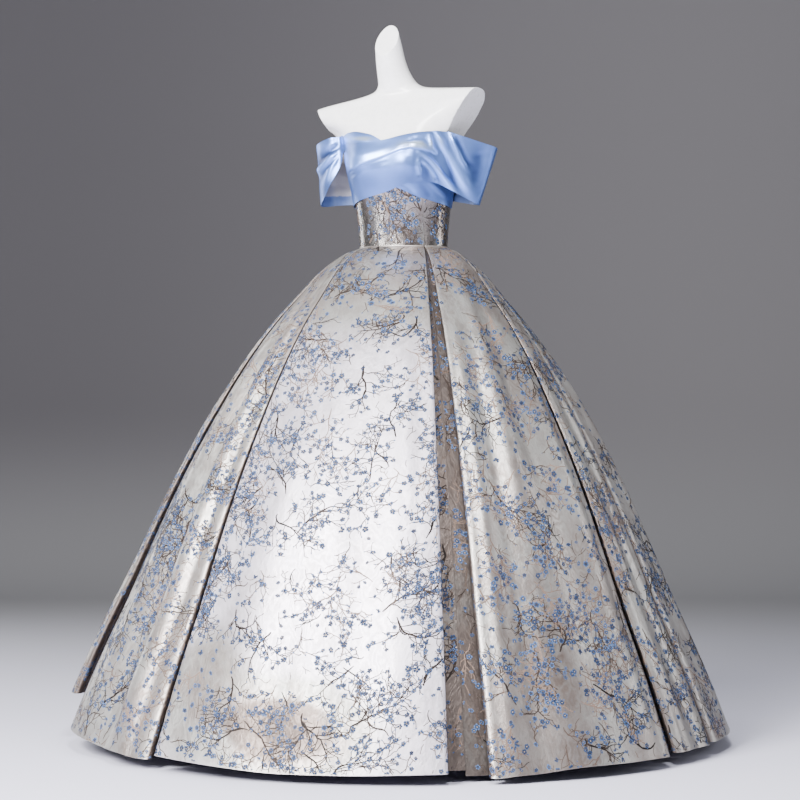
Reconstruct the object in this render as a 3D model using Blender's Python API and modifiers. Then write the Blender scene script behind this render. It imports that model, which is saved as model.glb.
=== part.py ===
"""Evening dress on a limbless dress form: satin drapes and off-the-shoulder sleeves over a boned
brocade bodice, and a floor-length ball skirt of nine gores set in deep box pleats.
Metres, Z up. The front of the dress faces -Y and the wearer's left is +X."""

import math

import bmesh
import bpy
from mathutils import Vector

# Driving sizes
WAIST_Z = 1.166
HEM_Z = 0.020
WAIST_A = 0.1060          # half width of the waist
WAIST_B = 0.0830          # half depth of the waist
HEM_R = 0.768             # radius of the skirt at the hem
GAP = 0.0003              # clearance between pieces
LAYER_GAP = 0.0010        # clearance where satin lies on a curved panel
BROCADE = 0.0015          # wall of the brocade
SATIN = 0.0012            # wall of the doubled satin
PLEAT_PITCH = 0.0024      # middle to middle of the pleat layers at the waist
STRAIGHT = 0.0030         # upright strip on each side of the waist seam
WAIST_OPENING = 0.0016    # half opening of a pleat at the waist, to the middle of its wall
WAIST_EDGE = 0.0011       # radius of a pleat's edge at the waist
SLIM_WAIST = 0.0090       # how far the form stays inside the bodice at the waist
SHOULDER_TILT = 0.085     # rise of the wearer's left shoulder per metre across
ZIP_WIDTH = 0.0050        # zip that fills the centre back seam
FORM_SIDES = 38

UNDER_OUT = BROCADE / 2 + LAYER_GAP + SATIN / 2       # satin lying on the bodice
OVER_OUT = UNDER_OUT + SATIN + LAYER_GAP              # satin lying on satin
FORM_IN = BROCADE / 2 + LAYER_GAP                     # form inside the bodice
CUP_EASE = 0.030                                      # share of the cup's projection a layer stands off

# Middle of the bodice wall: z, half width, half depth in front, half depth behind
TORSO = (
    (1.166, 0.1060, 0.0830, 0.0830),
    (1.200, 0.1078, 0.0855, 0.0832),
    (1.235, 0.1115, 0.0905, 0.0842),
    (1.270, 0.1165, 0.0965, 0.0860),
    (1.300, 0.1215, 0.1020, 0.0885),
    (1.335, 0.1275, 0.1060, 0.0915),
    (1.370, 0.1340, 0.1080, 0.0945),
    (1.405, 0.1415, 0.1060, 0.0970),
    (1.440, 0.1500, 0.0990, 0.0985),
)
# Cup of each side of the bust: distance from the middle, height, projection and spreads
CUP = {"x": 0.064, "z": 1.352, "out": 0.036, "wide": 0.042, "below": 0.034, "above": 0.050}

# Form below the bodice and above it: z, half width, depth in front, depth behind, middle x, middle y
HIPS = (
    (0.950, 0.1320, 0.0960, 0.1040, 0.0, 0.0),
    (0.956, 0.1380, 0.1010, 0.1100, 0.0, 0.0),
    (1.000, 0.1400, 0.1020, 0.1130, 0.0, 0.0),
    (1.050, 0.1320, 0.0980, 0.1080, 0.0, 0.0),
    (1.100, 0.1130, 0.0870, 0.0930, 0.0, 0.0),
    (1.140, 0.0995, 0.0765, 0.0785, 0.0, 0.0),
)
SHOULDERS = (
    (1.448, 0.1735, 0.0970, 0.0990, 0.0, 0.0),
    (1.462, 0.1960, 0.0910, 0.0990, 0.0, -0.001),
    (1.480, 0.2230, 0.0810, 0.0950, 0.0, -0.002),
    (1.496, 0.2400, 0.0690, 0.0850, 0.0, -0.004),
    (1.508, 0.2380, 0.0590, 0.0740, 0.0, -0.006),
    (1.517, 0.2120, 0.0530, 0.0660, 0.0, -0.008),
    (1.525, 0.1420, 0.0500, 0.0610, 0.0, -0.009),
    (1.531, 0.0900, 0.0480, 0.0570, -0.002, -0.012),
    (1.537, 0.0640, 0.0460, 0.0520, -0.004, -0.015),
    (1.545, 0.0505, 0.0440, 0.0480, -0.006, -0.020),
    (1.556, 0.0435, 0.0415, 0.0440, -0.008, -0.026),
    (1.581, 0.0378, 0.0390, 0.0400, -0.012, -0.040),
    (1.610, 0.0338, 0.0360, 0.0365, -0.0135, -0.055),
    (1.640, 0.0310, 0.0335, 0.0340, -0.0140, -0.066),
    (1.670, 0.0275, 0.0305, 0.0315, -0.0155, -0.077),
    (1.700, 0.0225, 0.0270, 0.0280, -0.0180, -0.086),
    (1.740, 0.0180, 0.0230, 0.0240, -0.0200, -0.096),
)
# Heights of the form's sections inside the bodice
FORM_LEVELS = (
    1.166, 1.190, 1.215, 1.240, 1.262, 1.280, 1.296, 1.311, 1.326, 1.341, 1.356, 1.372, 1.389, 1.406, 1.422, 1.437,
)
STUMP_TOP = (0.2075, 1.5250)     # x and z of the upper end of each flat shoulder end
STUMP_FOOT = (0.1500, 1.4200)
STUMP_SHIFT = -0.0120            # both ends stand this far toward the wearer's right
STUMP_TURN = 0.12                # how much each end is turned to the front
ARM_OUT = 0.018                  # how far the form swells under each arm, between these two heights
ARM_Z = (1.385, 1.440)
ARM_REACH = (8.0, 24.0)          # degrees each way from the side where the swelling is whole and where it ends
NECK_CUT = {"y": -0.0720, "z": 1.6560, "slope": 1.90, "turn": 0.42}

# Skirt outline: how far down from waist to hem, and how far out from waist to hem
PROFILE = (
    (0.000, 0.000), (0.0026, 0.000), (0.010, 0.036), (0.030, 0.088), (0.058, 0.143), (0.110, 0.218),
    (0.161, 0.291), (0.213, 0.355), (0.265, 0.412), (0.317, 0.464), (0.421, 0.561), (0.524, 0.648),
    (0.628, 0.727), (0.731, 0.802), (0.835, 0.884), (0.920, 0.946), (1.000, 1.000),
)
# How much wider the hem stands than its radius: angle from the front, extra
FLARE = ((0, 0.0), (60, -0.003), (120, 0.0), (240, 0.006), (290, 0.016), (330, 0.005), (360, 0.0))
# Rows of the profile that the solid follows
SKIRT_ROWS = (0.0, 0.0026, 0.010, 0.030, 0.066, 0.120, 0.200, 0.320, 0.480, 0.660, 0.850, 1.0)

# Pleats between the gores. Angles count from the front middle toward the wearer's left.
# name, angle at the waist, angle at the hem, half opening at the hem, depth of one layer at the hem,
# underlap at the waist, underlap at the hem, radius at the hem of the edge before it and after it
PLEATS = (
    ("p0", 44.0, 30.5, 0.046, 0.026, 0.0150, 0.034, 0.010, 0.010),
    ("p1", 98.0, 71.0, 0.028, 0.026, 0.0110, 0.032, 0.016, 0.021),
    ("p2", 114.0, 85.5, 0.014, 0.028, 0.0075, 0.028, 0.024, 0.024),
    ("p3", 150.0, 140.0, 0.030, 0.026, 0.0100, 0.032, 0.020, 0.020),
    ("p4", 180.0, 180.0, 0.020, 0.026, 0.0100, 0.032, 0.016, 0.016),
    ("p5", 210.0, 220.0, 0.030, 0.026, 0.0100, 0.032, 0.020, 0.020),
    ("p6", 246.0, 264.0, 0.024, 0.028, 0.0110, 0.032, 0.022, 0.022),
    ("p7", 284.0, 296.0, 0.020, 0.028, 0.0120, 0.032, 0.036, 0.020),
    ("p8", 312.0, 334.4, 0.020, 0.030, 0.0150, 0.056, 0.040, 0.014),
)
# Gores from pleat to pleat: name, hem rise at its first side, middle and last side, segments of the face
GORES = (
    ("skirt_front_left", 0, 0.006, 0.010, 0.006, 8),
    ("skirt_side_left", 1, 0.010, 0.012, 0.010, 3),
    ("skirt_rear_side_left", 2, 0.012, 0.014, 0.012, 7),
    ("skirt_back_left", 3, 0.010, 0.010, 0.006, 6),
    ("skirt_back_right", 4, 0.006, 0.010, 0.012, 6),
    ("skirt_rear_side_right", 5, 0.020, 0.050, 0.090, 6),
    ("skirt_side_right", 6, 0.095, 0.080, 0.070, 5),
    ("skirt_front_right", 7, 0.022, 0.016, 0.004, 6),
    ("skirt_front", 8, 0.016, 0.002, 0.006, 9),
)

# Bodice panels: name, first and last angle at the waist, first and last angle at the top
BODICE = (
    ("bodice_front", -44.0, 44.0, -34.0, 34.0),
    ("bodice_side_front_left", 44.0, 92.0, 34.0, 90.0),
    ("bodice_side_back_left", 92.0, 138.0, 90.0, 138.0),
    ("bodice_back_left", 138.0, 180.0, 138.0, 180.0),
    ("bodice_side_front_right", -92.0, -44.0, -90.0, -34.0),
    ("bodice_side_back_right", -138.0, -92.0, -138.0, -90.0),
    ("bodice_back_right", -180.0, -138.0, -180.0, -138.0),
)
# Upper edge of the bodice: angle from the front, height
BODICE_TOP = ((0, 1.399), (18, 1.407), (34, 1.417), (55, 1.412), (90, 1.352), (138, 1.352), (180, 1.352))

# Satin bands: angle, lower edge, upper edge
OVER_BAND = (
    (-93, 1.2580, 1.380), (-70, 1.2640, 1.388), (-35, 1.2770, 1.398), (0, 1.2920, 1.408),
    (19, 1.3080, 1.4180), (36, 1.3150, 1.427), (48, 1.3180, 1.431),
)
UNDER_BAND = (
    (-62, 1.3300, 1.432), (-40, 1.3250, 1.434), (-18, 1.3170, 1.424), (0, 1.3060, 1.402),
    (12, 1.2990, 1.393), (35, 1.2780, 1.380), (60, 1.2660, 1.368), (93, 1.2560, 1.362),
)
BACK_BAND = ((93.4, 1.2560, 1.362), (135, 1.2600, 1.364), (180, 1.2640, 1.366))
BACK_BAND_RIGHT = ((180, 1.2640, 1.366), (225, 1.2610, 1.372), (266.6, 1.2580, 1.379))

# Long soft folds across the over band: share of its width, height, spread
BAND_FOLDS = ((0.60, 0.0022, 0.07),)

# Sleeve loops: how each section is placed. "body" rows give an angle and a distance off the bodice,
# "free" rows give x and y at the lower and at the upper edge; both end with the two heights.
SLEEVE_LEFT = (
    ("body", 48.3, OVER_OUT, 48.3, OVER_OUT, 1.3180, 1.4310),
    ("body", 62.0, 0.0075, 62.0, 0.0060, 1.3080, 1.4300),
    ("free", 0.1400, -0.0640, 0.1520, -0.0640, 1.2930, 1.4240),
    ("free", 0.1620, -0.0450, 0.1900, -0.0400, 1.2790, 1.4100),
    ("free", 0.1840, -0.0200, 0.2270, -0.0160, 1.2650, 1.3970),
    ("free", 0.1890, -0.0010, 0.2330, 0.0010, 1.2610, 1.3930),
    ("free", 0.1830, 0.0170, 0.2240, 0.0180, 1.2620, 1.3910),
    ("free", 0.1600, 0.0400, 0.1830, 0.0450, 1.2660, 1.3850),
    ("body", 106.0, 0.0060, 108.0, 0.0080, 1.2740, 1.3740),
    ("body", 116.0, OVER_OUT, 118.0, OVER_OUT, 1.2760, 1.3600),
    ("body", 122.0, OVER_OUT, 124.0, OVER_OUT, 1.2770, 1.3580),
)
SLEEVE_RIGHT = (
    ("body", -62.3, UNDER_OUT, -62.3, UNDER_OUT, 1.3950, 1.4320),
    ("body", -66.8, 0.0088, -67.5, 0.0055, 1.3910, 1.4320),
    ("body", -72.5, 0.0120, -74.0, 0.0085, 1.3680, 1.4310),
    ("free", -0.1620, -0.0520, -0.1680, -0.0440, 1.3240, 1.4280),
    ("free", -0.1880, -0.0360, -0.1990, -0.0260, 1.2860, 1.4210),
    ("free", -0.2050, -0.0150, -0.2180, -0.0080, 1.2700, 1.4150),
    ("free", -0.2090, 0.0040, -0.2220, 0.0060, 1.2680, 1.4130),
    ("free", -0.2040, 0.0200, -0.2150, 0.0220, 1.2680, 1.4100),
    ("free", -0.1840, 0.0390, -0.1880, 0.0420, 1.2720, 1.4000),
    ("body", -106.0, 0.0120, -106.0, 0.0120, 1.2740, 1.3880),
    ("body", -118.0, OVER_OUT, -118.0, OVER_OUT, 1.2760, 1.3640),
    ("body", -124.0, OVER_OUT, -124.0, OVER_OUT, 1.2770, 1.3600),
)

# Stand
BASE_R = 0.180
BASE_THICK = 0.012
BASE_EDGE = 0.003
POLE_R = 0.0125
COLLAR_R = 0.030
COLLAR_HIGH = 0.030


def clear_scene():
    for obj in list(bpy.data.objects):
        bpy.data.objects.remove(obj, do_unlink=True)


def collection(name, hidden=False):
    made = bpy.data.collections.new(name)
    bpy.context.scene.collection.children.link(made)
    made.hide_render = hidden
    return made


def spline(rows, at):
    """Smooth values from rows whose first column rises, through every row."""
    last = len(rows) - 1
    if at <= rows[0][0]:
        return rows[0][1:]
    if at >= rows[last][0]:
        return rows[last][1:]
    i = max(k for k in range(last) if rows[k][0] <= at)
    before, after = rows[max(i - 1, 0)], rows[min(i + 2, last)]
    here, there = rows[i], rows[i + 1]
    span = there[0] - here[0]
    t = (at - here[0]) / span
    out = []
    for c in range(1, len(here)):
        step = (there[c] - here[c]) / span
        back = (here[c] - before[c]) / (here[0] - before[0]) if i > 0 else step
        fore = (after[c] - there[c]) / (after[0] - there[0]) if i < last - 1 else step
        m0 = 0.0 if back * step <= 0 else 2 * back * step / (back + step)
        m1 = 0.0 if fore * step <= 0 else 2 * fore * step / (fore + step)
        a, b = m0 * span, m1 * span
        out.append(
            here[c] * (2 * t**3 - 3 * t**2 + 1) + a * (t**3 - 2 * t**2 + t)
            + there[c] * (3 * t**2 - 2 * t**3) + b * (t**3 - t**2)
        )
    return tuple(out)


def lerp(a, b, t):
    return a + (b - a) * t


def smooth_step(low, high, at):
    t = min(max((at - low) / (high - low), 0.0), 1.0)
    return t * t * (3 - 2 * t)


def ring_point(angle, half, front, behind, mid_x=0.0, mid_y=0.0):
    """Point of an oval section. The angle is in degrees from the front, toward +X."""
    a = math.radians(angle)
    depth = front if math.cos(a) > 0 else behind
    return Vector((mid_x + half * math.sin(a), mid_y - depth * math.cos(a), 0.0))


def cups(x, z):
    spread = CUP["below"] if z < CUP["z"] else CUP["above"]
    high = math.exp(-(((z - CUP["z"]) / spread) ** 2) / 2)
    return CUP["out"] * high * sum(
        math.exp(-(((x - side * CUP["x"]) / CUP["wide"]) ** 2) / 2) for side in (-1, 1)
    )


def facing(angle):
    return max(math.cos(math.radians(angle)), 0.0) ** 0.5


def cup_push(angle, z):
    half = spline(TORSO, z)[0]
    return cups(half * math.sin(math.radians(angle)), z) * facing(angle)


def bodice_middle(angle, z):
    half, front, behind = spline(TORSO, z)
    p = ring_point(angle, half, front, behind)
    p.y -= cup_push(angle, z)
    p.z = z
    return p


def bodice_at(angle, z, out=0.0):
    """Point a distance off the middle of the bodice wall."""
    p = bodice_middle(angle, z)
    if out == 0.0:
        return p
    along = bodice_middle(angle + 0.5, z) - bodice_middle(angle - 0.5, z)
    rise = bodice_middle(angle, z + 0.001) - bodice_middle(angle, z - 0.001)
    return p + along.cross(rise).normalized() * out


def material(name, colour, roughness, metallic=0.0):
    made = bpy.data.materials.new(name)
    made.use_nodes = True
    shader = made.node_tree.nodes["Principled BSDF"]
    shader.inputs["Base Color"].default_value = (*colour, 1.0)
    shader.inputs["Roughness"].default_value = roughness
    shader.inputs["Metallic"].default_value = metallic
    made.diffuse_color = (*colour, 1.0)
    return made


def new_object(name, mesh, where, look):
    obj = bpy.data.objects.new(name, mesh)
    where.objects.link(obj)
    mesh.materials.append(look)
    return obj


def sheet(name, rows, where, look, wall):
    """Open grid of points made into cloth by a Solidify; rows all have the same length."""
    mesh = bpy.data.meshes.new(name)
    wide = len(rows[0])
    points = [p for row in rows for p in row]
    faces = [
        (r * wide + c, r * wide + c + 1, (r + 1) * wide + c + 1, (r + 1) * wide + c)
        for r in range(len(rows) - 1) for c in range(wide - 1)
    ]
    mesh.from_pydata(points, [], faces)
    mesh.polygons.foreach_set("use_smooth", [True] * len(mesh.polygons))
    obj = new_object(name, mesh, where, look)
    thick = obj.modifiers.new("wall", "SOLIDIFY")
    thick.thickness = wall
    thick.offset = 0.0
    thick.use_even_offset = False
    return obj


def even(low, high, count):
    return [lerp(low, high, i / count) for i in range(count + 1)]


# Form and stand

def form_rings():
    rings = []
    for row in HIPS:
        rings.append([ring_point(a, *row[1:]) + Vector((0, 0, row[0])) for a in round_angles()])
    for z in FORM_LEVELS:
        inside = FORM_IN + (SLIM_WAIST - FORM_IN) * (1 - smooth_step(WAIST_Z + 0.004, 1.250, z))
        rings.append([
            bodice_at(a, z, arm_push(a, z) - inside - CUP_EASE * cup_push(a, z)) for a in round_angles()
        ])
    for row in SHOULDERS:
        ring = []
        lean = SHOULDER_TILT * smooth_step(1.424, 1.500, row[0]) * (1 - smooth_step(1.55, 1.6, row[0]))
        for a in round_angles():
            p = ring_point(a, *row[1:])
            p.y -= cups(p.x, row[0]) * facing(a)
            p.z = row[0] + lean * p.x
            ring.append(p)
        rings.append(ring)
    return rings


def arm_push(angle, z):
    from_side = abs(min(angle % 360, 360 - angle % 360) - 90)
    return ARM_OUT * smooth_step(*ARM_Z, z) * (1 - smooth_step(*ARM_REACH, from_side))


def round_angles():
    return [360.0 * i / FORM_SIDES for i in range(FORM_SIDES)]


def loft(name, rings, where, look):
    mesh = bpy.data.meshes.new(name)
    count = len(rings[0])
    points = [p for ring in rings for p in ring]
    faces = [
        (r * count + c, r * count + (c + 1) % count,
         (r + 1) * count + (c + 1) % count, (r + 1) * count + c)
        for r in range(len(rings) - 1) for c in range(count)
    ]
    faces.append(tuple(reversed(range(count))))
    faces.append(tuple((len(rings) - 1) * count + c for c in range(count)))
    mesh.from_pydata(points, [], faces)
    mesh.polygons.foreach_set("use_smooth", [True] * len(mesh.polygons))
    return new_object(name, mesh, where, look)


def cutter_box(name, centre, across, up, size, where, look):
    """Box whose near face holds the centre and whose body lies along across."""
    mesh = bpy.data.meshes.new(name)
    tool = bmesh.new()
    bmesh.ops.create_cube(tool, size=size)
    tool.to_mesh(mesh)
    tool.free()
    obj = new_object(name, mesh, where, look)
    across, up = across.normalized(), up.normalized()
    side = up.cross(across)
    for v in mesh.vertices:
        q = v.co.copy()
        v.co = centre + across * (q.x + size / 2) + up * q.z + side * q.y
    return obj


def cut(obj, cutter):
    step = obj.modifiers.new("cut", "BOOLEAN")
    step.operation = "DIFFERENCE"
    step.solver = "EXACT"
    step.object = cutter


def build_form(where, cutters, look):
    form = loft("form_torso", form_rings(), where, look)
    rise = Vector((STUMP_TOP[0] - STUMP_FOOT[0], 0, STUMP_TOP[1] - STUMP_FOOT[1]))
    for side, name in ((1, "cut_left"), (-1, "cut_right")):
        up = Vector((side * rise.x, 0, rise.z)).normalized()
        across = Vector((side * rise.z, -STUMP_TURN * rise.z, -rise.x)).normalized()
        middle = Vector((side * (STUMP_TOP[0] + STUMP_FOOT[0]) / 2 + STUMP_SHIFT, 0,
                         (STUMP_TOP[1] + STUMP_FOOT[1]) / 2 + side * SHOULDER_TILT * 0.18))
        cut(form, cutter_box(name, middle, across, up, 0.30, cutters, look))
    slope = Vector((0, 1, NECK_CUT["slope"])).normalized()
    normal = Vector((-NECK_CUT["turn"], -NECK_CUT["slope"], 1)).normalized()
    middle = Vector((0, NECK_CUT["y"], NECK_CUT["z"]))
    cut(form, cutter_box("cut_neck", middle, normal, slope, 0.30, cutters, look))
    return form


def turned(name, profile, where, look, sides=36):
    """Solid of revolution about Z from (radius, height) pairs."""
    rings = [
        [Vector((r * math.sin(2 * math.pi * i / sides), -r * math.cos(2 * math.pi * i / sides), z))
         for i in range(sides)]
        for r, z in profile
    ]
    return loft(name, rings, where, look)


def build_stand(where, look):
    turned("stand_base", (
        (BASE_R, 0.0), (BASE_R, BASE_THICK - BASE_EDGE), (BASE_R - BASE_EDGE, BASE_THICK),
        (COLLAR_R, BASE_THICK), (COLLAR_R, BASE_THICK + COLLAR_HIGH - BASE_EDGE),
        (COLLAR_R - BASE_EDGE, BASE_THICK + COLLAR_HIGH),
    ), where, look)
    low = BASE_THICK + COLLAR_HIGH + GAP
    turned("stand_pole", ((POLE_R, low), (POLE_R, HIPS[0][0] - GAP)), where, look, 32)


# Bodice

def bodice_top(angle):
    return spline(BODICE_TOP, abs(angle))[0]


def degrees_for(angle, z, length):
    """Degrees round the bodice that make this length there."""
    step = (bodice_middle(angle + 0.5, z) - bodice_middle(angle - 0.5, z)).length
    return length / step


def build_bodice(where, look):
    levels = (0.0, STRAIGHT, 0.028, 0.058, 0.084, 0.104, 0.120, 0.134, 0.148, 0.162, 0.177, 0.193)
    for name, low_a, low_b, top_a, top_b in BODICE:
        count = 12 if name == "bodice_front" else 7
        rows = []
        for level in levels:
            share = level / levels[-1]
            first, last = lerp(low_a, top_a, share), lerp(low_b, top_b, share)
            z0 = WAIST_Z + level
            seam = {"first": GAP, "last": GAP}
            if abs(first) > 179:
                seam["first"] += ZIP_WIDTH / 2
            if abs(last) > 179:
                seam["last"] += ZIP_WIDTH / 2
            row = []
            for angle in even(first + degrees_for(first, z0, seam["first"]),
                              last - degrees_for(last, z0, seam["last"]), count):
                top = bodice_top(angle)
                z = z0 if level <= STRAIGHT else lerp(
                    WAIST_Z + STRAIGHT, top, (level - STRAIGHT) / (levels[-1] - STRAIGHT))
                p = bodice_at(angle, max(z, WAIST_Z + STRAIGHT))
                p.z = z
                row.append(p)
            rows.append(row)
        sheet(name, rows, where, look, BROCADE)


def build_zip(where, look):
    rows = []
    for z in (WAIST_Z, WAIST_Z + STRAIGHT, 1.190, 1.230, 1.280, 1.320, bodice_top(180)):
        reach = degrees_for(180, z, ZIP_WIDTH / 2)
        row = []
        for a in (180 - reach, 180, 180 + reach):
            p = bodice_at(a, max(z, WAIST_Z + STRAIGHT))
            p.z = z
            row.append(p)
        rows.append(row)
    sheet("back_zip", rows, where, look, SATIN)


# Satin

def band(name, table, out, ease, count, across, where, look, folds=()):
    first, last = table[0][0], table[-1][0]
    low0, high0 = table[0][1], table[-1][1]
    rows = []
    begin = first + degrees_for(first, low0, GAP / 2)
    finish = last - degrees_for(last, high0, GAP / 2)
    for j in range(across + 1):
        v = j / across
        extra = sum(h * math.exp(-(((v - at) / wide) ** 2) / 2) for at, h, wide in folds)
        row = []
        for angle in even(begin, finish, count):
            low, high = spline(table, angle)
            near = min(smooth_step(first, first + 20, angle), 1 - smooth_step(last - 16, last, angle))
            z = lerp(low, high, v)
            stand = ease * CUP_EASE * cup_push(angle, z)
            row.append(bodice_at(angle, z, out + stand + extra * near))
        rows.append(row)
    return sheet(name, rows, where, look, SATIN)


def sleeve_on_body(angle, z, out):
    return bodice_at(angle, z, out + 2 * CUP_EASE * cup_push(angle, z))


def sleeve_edges(row):
    kind, a0, b0, a1, b1, low, high = row
    if kind == "body":
        return sleeve_on_body(a0, low, b0), sleeve_on_body(a1, high, b1)
    return Vector((a0, b0, low)), Vector((a1, b1, high))


def along_curve(points, at):
    """Catmull-Rom point at a place counted in rows."""
    last = len(points) - 1
    i = min(int(at), last - 1)
    t = at - i
    p0, p1 = points[max(i - 1, 0)], points[i]
    p2, p3 = points[i + 1], points[min(i + 2, last)]
    return 0.5 * (
        2 * p1 + (p2 - p0) * t + (2 * p0 - 5 * p1 + 4 * p2 - p3) * t**2
        + (3 * p1 - p0 - 3 * p2 + p3) * t**3
    )


def sleeve(name, table, across, steps, where, look):
    edges = [sleeve_edges(row) for row in table]
    lower, upper = [e[0] for e in edges], [e[1] for e in edges]
    rows = []
    for j in range(across + 1):
        v = j / across
        row = []
        for at in even(0, len(table) - 1, (len(table) - 1) * steps):
            p = along_curve(lower, at).lerp(along_curve(upper, at), v)
            nearest = table[min(int(at + 0.5), len(table) - 1)]
            if nearest[0] == "body":
                whole = min(int(at), len(table) - 2)
                t = at - whole
                ends = [table[whole], table[whole + 1]]
                if all(e[0] == "body" for e in ends):
                    angle = [lerp(e[1], e[3], v) for e in ends]
                    off = [lerp(e[2], e[4], v) for e in ends]
                    high = [lerp(e[5], e[6], v) for e in ends]
                    p = sleeve_on_body(lerp(*angle, t), lerp(*high, t), lerp(*off, t))
            row.append(p)
        rows.append(row)
    return sheet(name, rows, where, look, SATIN)


def build_satin(where, look):
    band("drape_under", UNDER_BAND, UNDER_OUT, 1, 26, 7, where, look)
    band("drape_over", OVER_BAND, OVER_OUT, 2, 24, 8, where, look, BAND_FOLDS)
    band("drape_back_left", BACK_BAND, UNDER_OUT, 0, 14, 4, where, look)
    band("drape_back_right", BACK_BAND_RIGHT, UNDER_OUT, 0, 14, 4, where, look)
    sleeve("sleeve_left", SLEEVE_LEFT, 5, 2, where, look)
    sleeve("sleeve_right", SLEEVE_RIGHT, 5, 2, where, look)


# Skirt

def pleat_side(opening, underlap, layer, round_off):
    """Half a box pleat, from the face to its middle: distance short of the pleat's middle, depth."""
    return (
        (opening + round_off, 0.0),
        (opening, layer * 0.45),
        (opening + round_off * 0.8, layer),
        (opening + underlap, layer),
        (opening + underlap, 2 * layer),
        (GAP, 2 * layer),
    )


def waist_point(angle, short, depth):
    """Point of the waist section, a distance along it from an angle and a depth inside it."""
    step = (ring_point(angle + 0.5, WAIST_A, WAIST_B, WAIST_B)
            - ring_point(angle - 0.5, WAIST_A, WAIST_B, WAIST_B)).length
    there = angle + short / step
    along = (ring_point(there + 0.5, WAIST_A, WAIST_B, WAIST_B)
             - ring_point(there - 0.5, WAIST_A, WAIST_B, WAIST_B)).normalized()
    inward = Vector((-along.y, along.x, 0))
    return ring_point(there, WAIST_A, WAIST_B, WAIST_B) + inward * depth


def hem_point(angle, short, depth):
    there = math.radians(angle) + short / HEM_R
    radius = HEM_R + spline(FLARE, math.degrees(there) % 360)[0] - depth
    return Vector((radius * math.sin(there), -radius * math.cos(there), 0))


def gore_section(first, last, faces):
    """Pairs of waist and hem points, with how far each lies across the face from 0 to 1."""
    left = pleat_pairs(first, 1)
    right = pleat_pairs(last, -1)
    a0, h0 = left[-1][2], left[-1][3]
    a1, h1 = right[-1][2], right[-1][3]
    section = [(w, h, 0.0) for w, h, _, _ in left[:-1]]
    for i, t in enumerate(even(0.0, 1.0, faces)):
        section.append((waist_point(lerp(a0, a1, t), 0, 0), hem_point(lerp(h0, h1, t), 0, 0), t))
    section += [(w, h, 1.0) for w, h, _, _ in reversed(right[:-1])]
    return section


def pleat_pairs(pleat, way):
    """Waist and hem points of half a pleat from its middle out to the face."""
    _, waist_angle, hem_angle, opening, layer, lap_waist, lap_hem, edge_before, edge_after = pleat
    edge = edge_after if way > 0 else edge_before
    at_waist = pleat_side(WAIST_OPENING, lap_waist, PLEAT_PITCH, WAIST_EDGE)
    at_hem = pleat_side(opening, lap_hem, layer, edge)
    waist_step = (ring_point(waist_angle + 0.5, WAIST_A, WAIST_B, WAIST_B)
                  - ring_point(waist_angle - 0.5, WAIST_A, WAIST_B, WAIST_B)).length
    out = []
    for (short_w, deep_w), (short_h, deep_h) in zip(at_waist, at_hem):
        out.append((
            waist_point(waist_angle, way * short_w, deep_w),
            hem_point(hem_angle, way * short_h, deep_h),
            waist_angle + way * short_w / waist_step,
            hem_angle + way * math.degrees(short_h / HEM_R),
        ))
    return list(reversed(out))


def skirt_point(waist, hem, down, hem_rise):
    out = spline(PROFILE, down)[0]
    p = waist.lerp(hem, out)
    p.z = lerp(WAIST_Z - GAP, HEM_Z + hem_rise, down)
    return p


def build_skirt(where, look):
    for name, at, rise_first, rise_mid, rise_last, faces in GORES:
        first = PLEATS[at]
        last = list(PLEATS[(at + 1) % len(PLEATS)])
        if last[1] < first[1]:
            last[1] += 360
            last[2] += 360
        rises = ((0.0, rise_first), (0.5, rise_mid), (1.0, rise_last))
        section = gore_section(first, last, faces)
        rows = [
            [skirt_point(w, h, down, spline(rises, t)[0]) for w, h, t in section]
            for down in reversed(SKIRT_ROWS)
        ]
        sheet(name, rows, where, look, BROCADE)


def main():
    clear_scene()
    dress = collection("evening_dress")
    cutters = collection("cutters", hidden=True)
    gloss = material("form_gloss", (0.86, 0.86, 0.87), 0.25)
    steel = material("stand_steel", (0.55, 0.56, 0.58), 0.30, 1.0)
    brocade = material("brocade", (0.66, 0.62, 0.62), 0.45)
    satin = material("blue_satin", (0.42, 0.56, 0.82), 0.35)
    zipper = material("zip_tape", (0.60, 0.57, 0.57), 0.50)
    build_form(dress, cutters, gloss)
    build_stand(dress, steel)
    build_bodice(dress, brocade)
    build_zip(dress, zipper)
    build_satin(dress, satin)
    build_skirt(dress, brocade)
    for obj in cutters.objects:
        obj.hide_render = True
        obj.display_type = "WIRE"


main()
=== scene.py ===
import math
import random

import bmesh
import bpy
import numpy as np
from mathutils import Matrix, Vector


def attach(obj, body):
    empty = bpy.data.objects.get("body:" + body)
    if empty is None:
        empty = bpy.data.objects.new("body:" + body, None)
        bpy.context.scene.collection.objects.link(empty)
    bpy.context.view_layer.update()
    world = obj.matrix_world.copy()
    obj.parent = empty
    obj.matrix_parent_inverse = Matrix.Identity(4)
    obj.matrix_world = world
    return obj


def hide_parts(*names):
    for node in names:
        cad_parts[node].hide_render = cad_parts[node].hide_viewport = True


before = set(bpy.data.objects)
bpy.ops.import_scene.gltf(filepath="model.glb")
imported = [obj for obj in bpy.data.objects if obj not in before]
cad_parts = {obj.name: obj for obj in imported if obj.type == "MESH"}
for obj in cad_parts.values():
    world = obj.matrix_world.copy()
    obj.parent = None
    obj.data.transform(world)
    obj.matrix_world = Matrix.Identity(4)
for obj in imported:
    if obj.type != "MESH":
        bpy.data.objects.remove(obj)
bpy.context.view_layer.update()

# Sizes, the same as the solids'
WAIST_Z, HEM_Z = 1.166, 0.020
WAIST_A, WAIST_B, HEM_R = 0.1060, 0.0830, 0.768
GAP, LAYER_GAP = 0.0003, 0.0010
BROCADE, SATIN = 0.0015, 0.0012
PLEAT_PITCH, STRAIGHT = 0.0024, 0.0030
WAIST_OPENING, WAIST_EDGE = 0.0016, 0.0011
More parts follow.
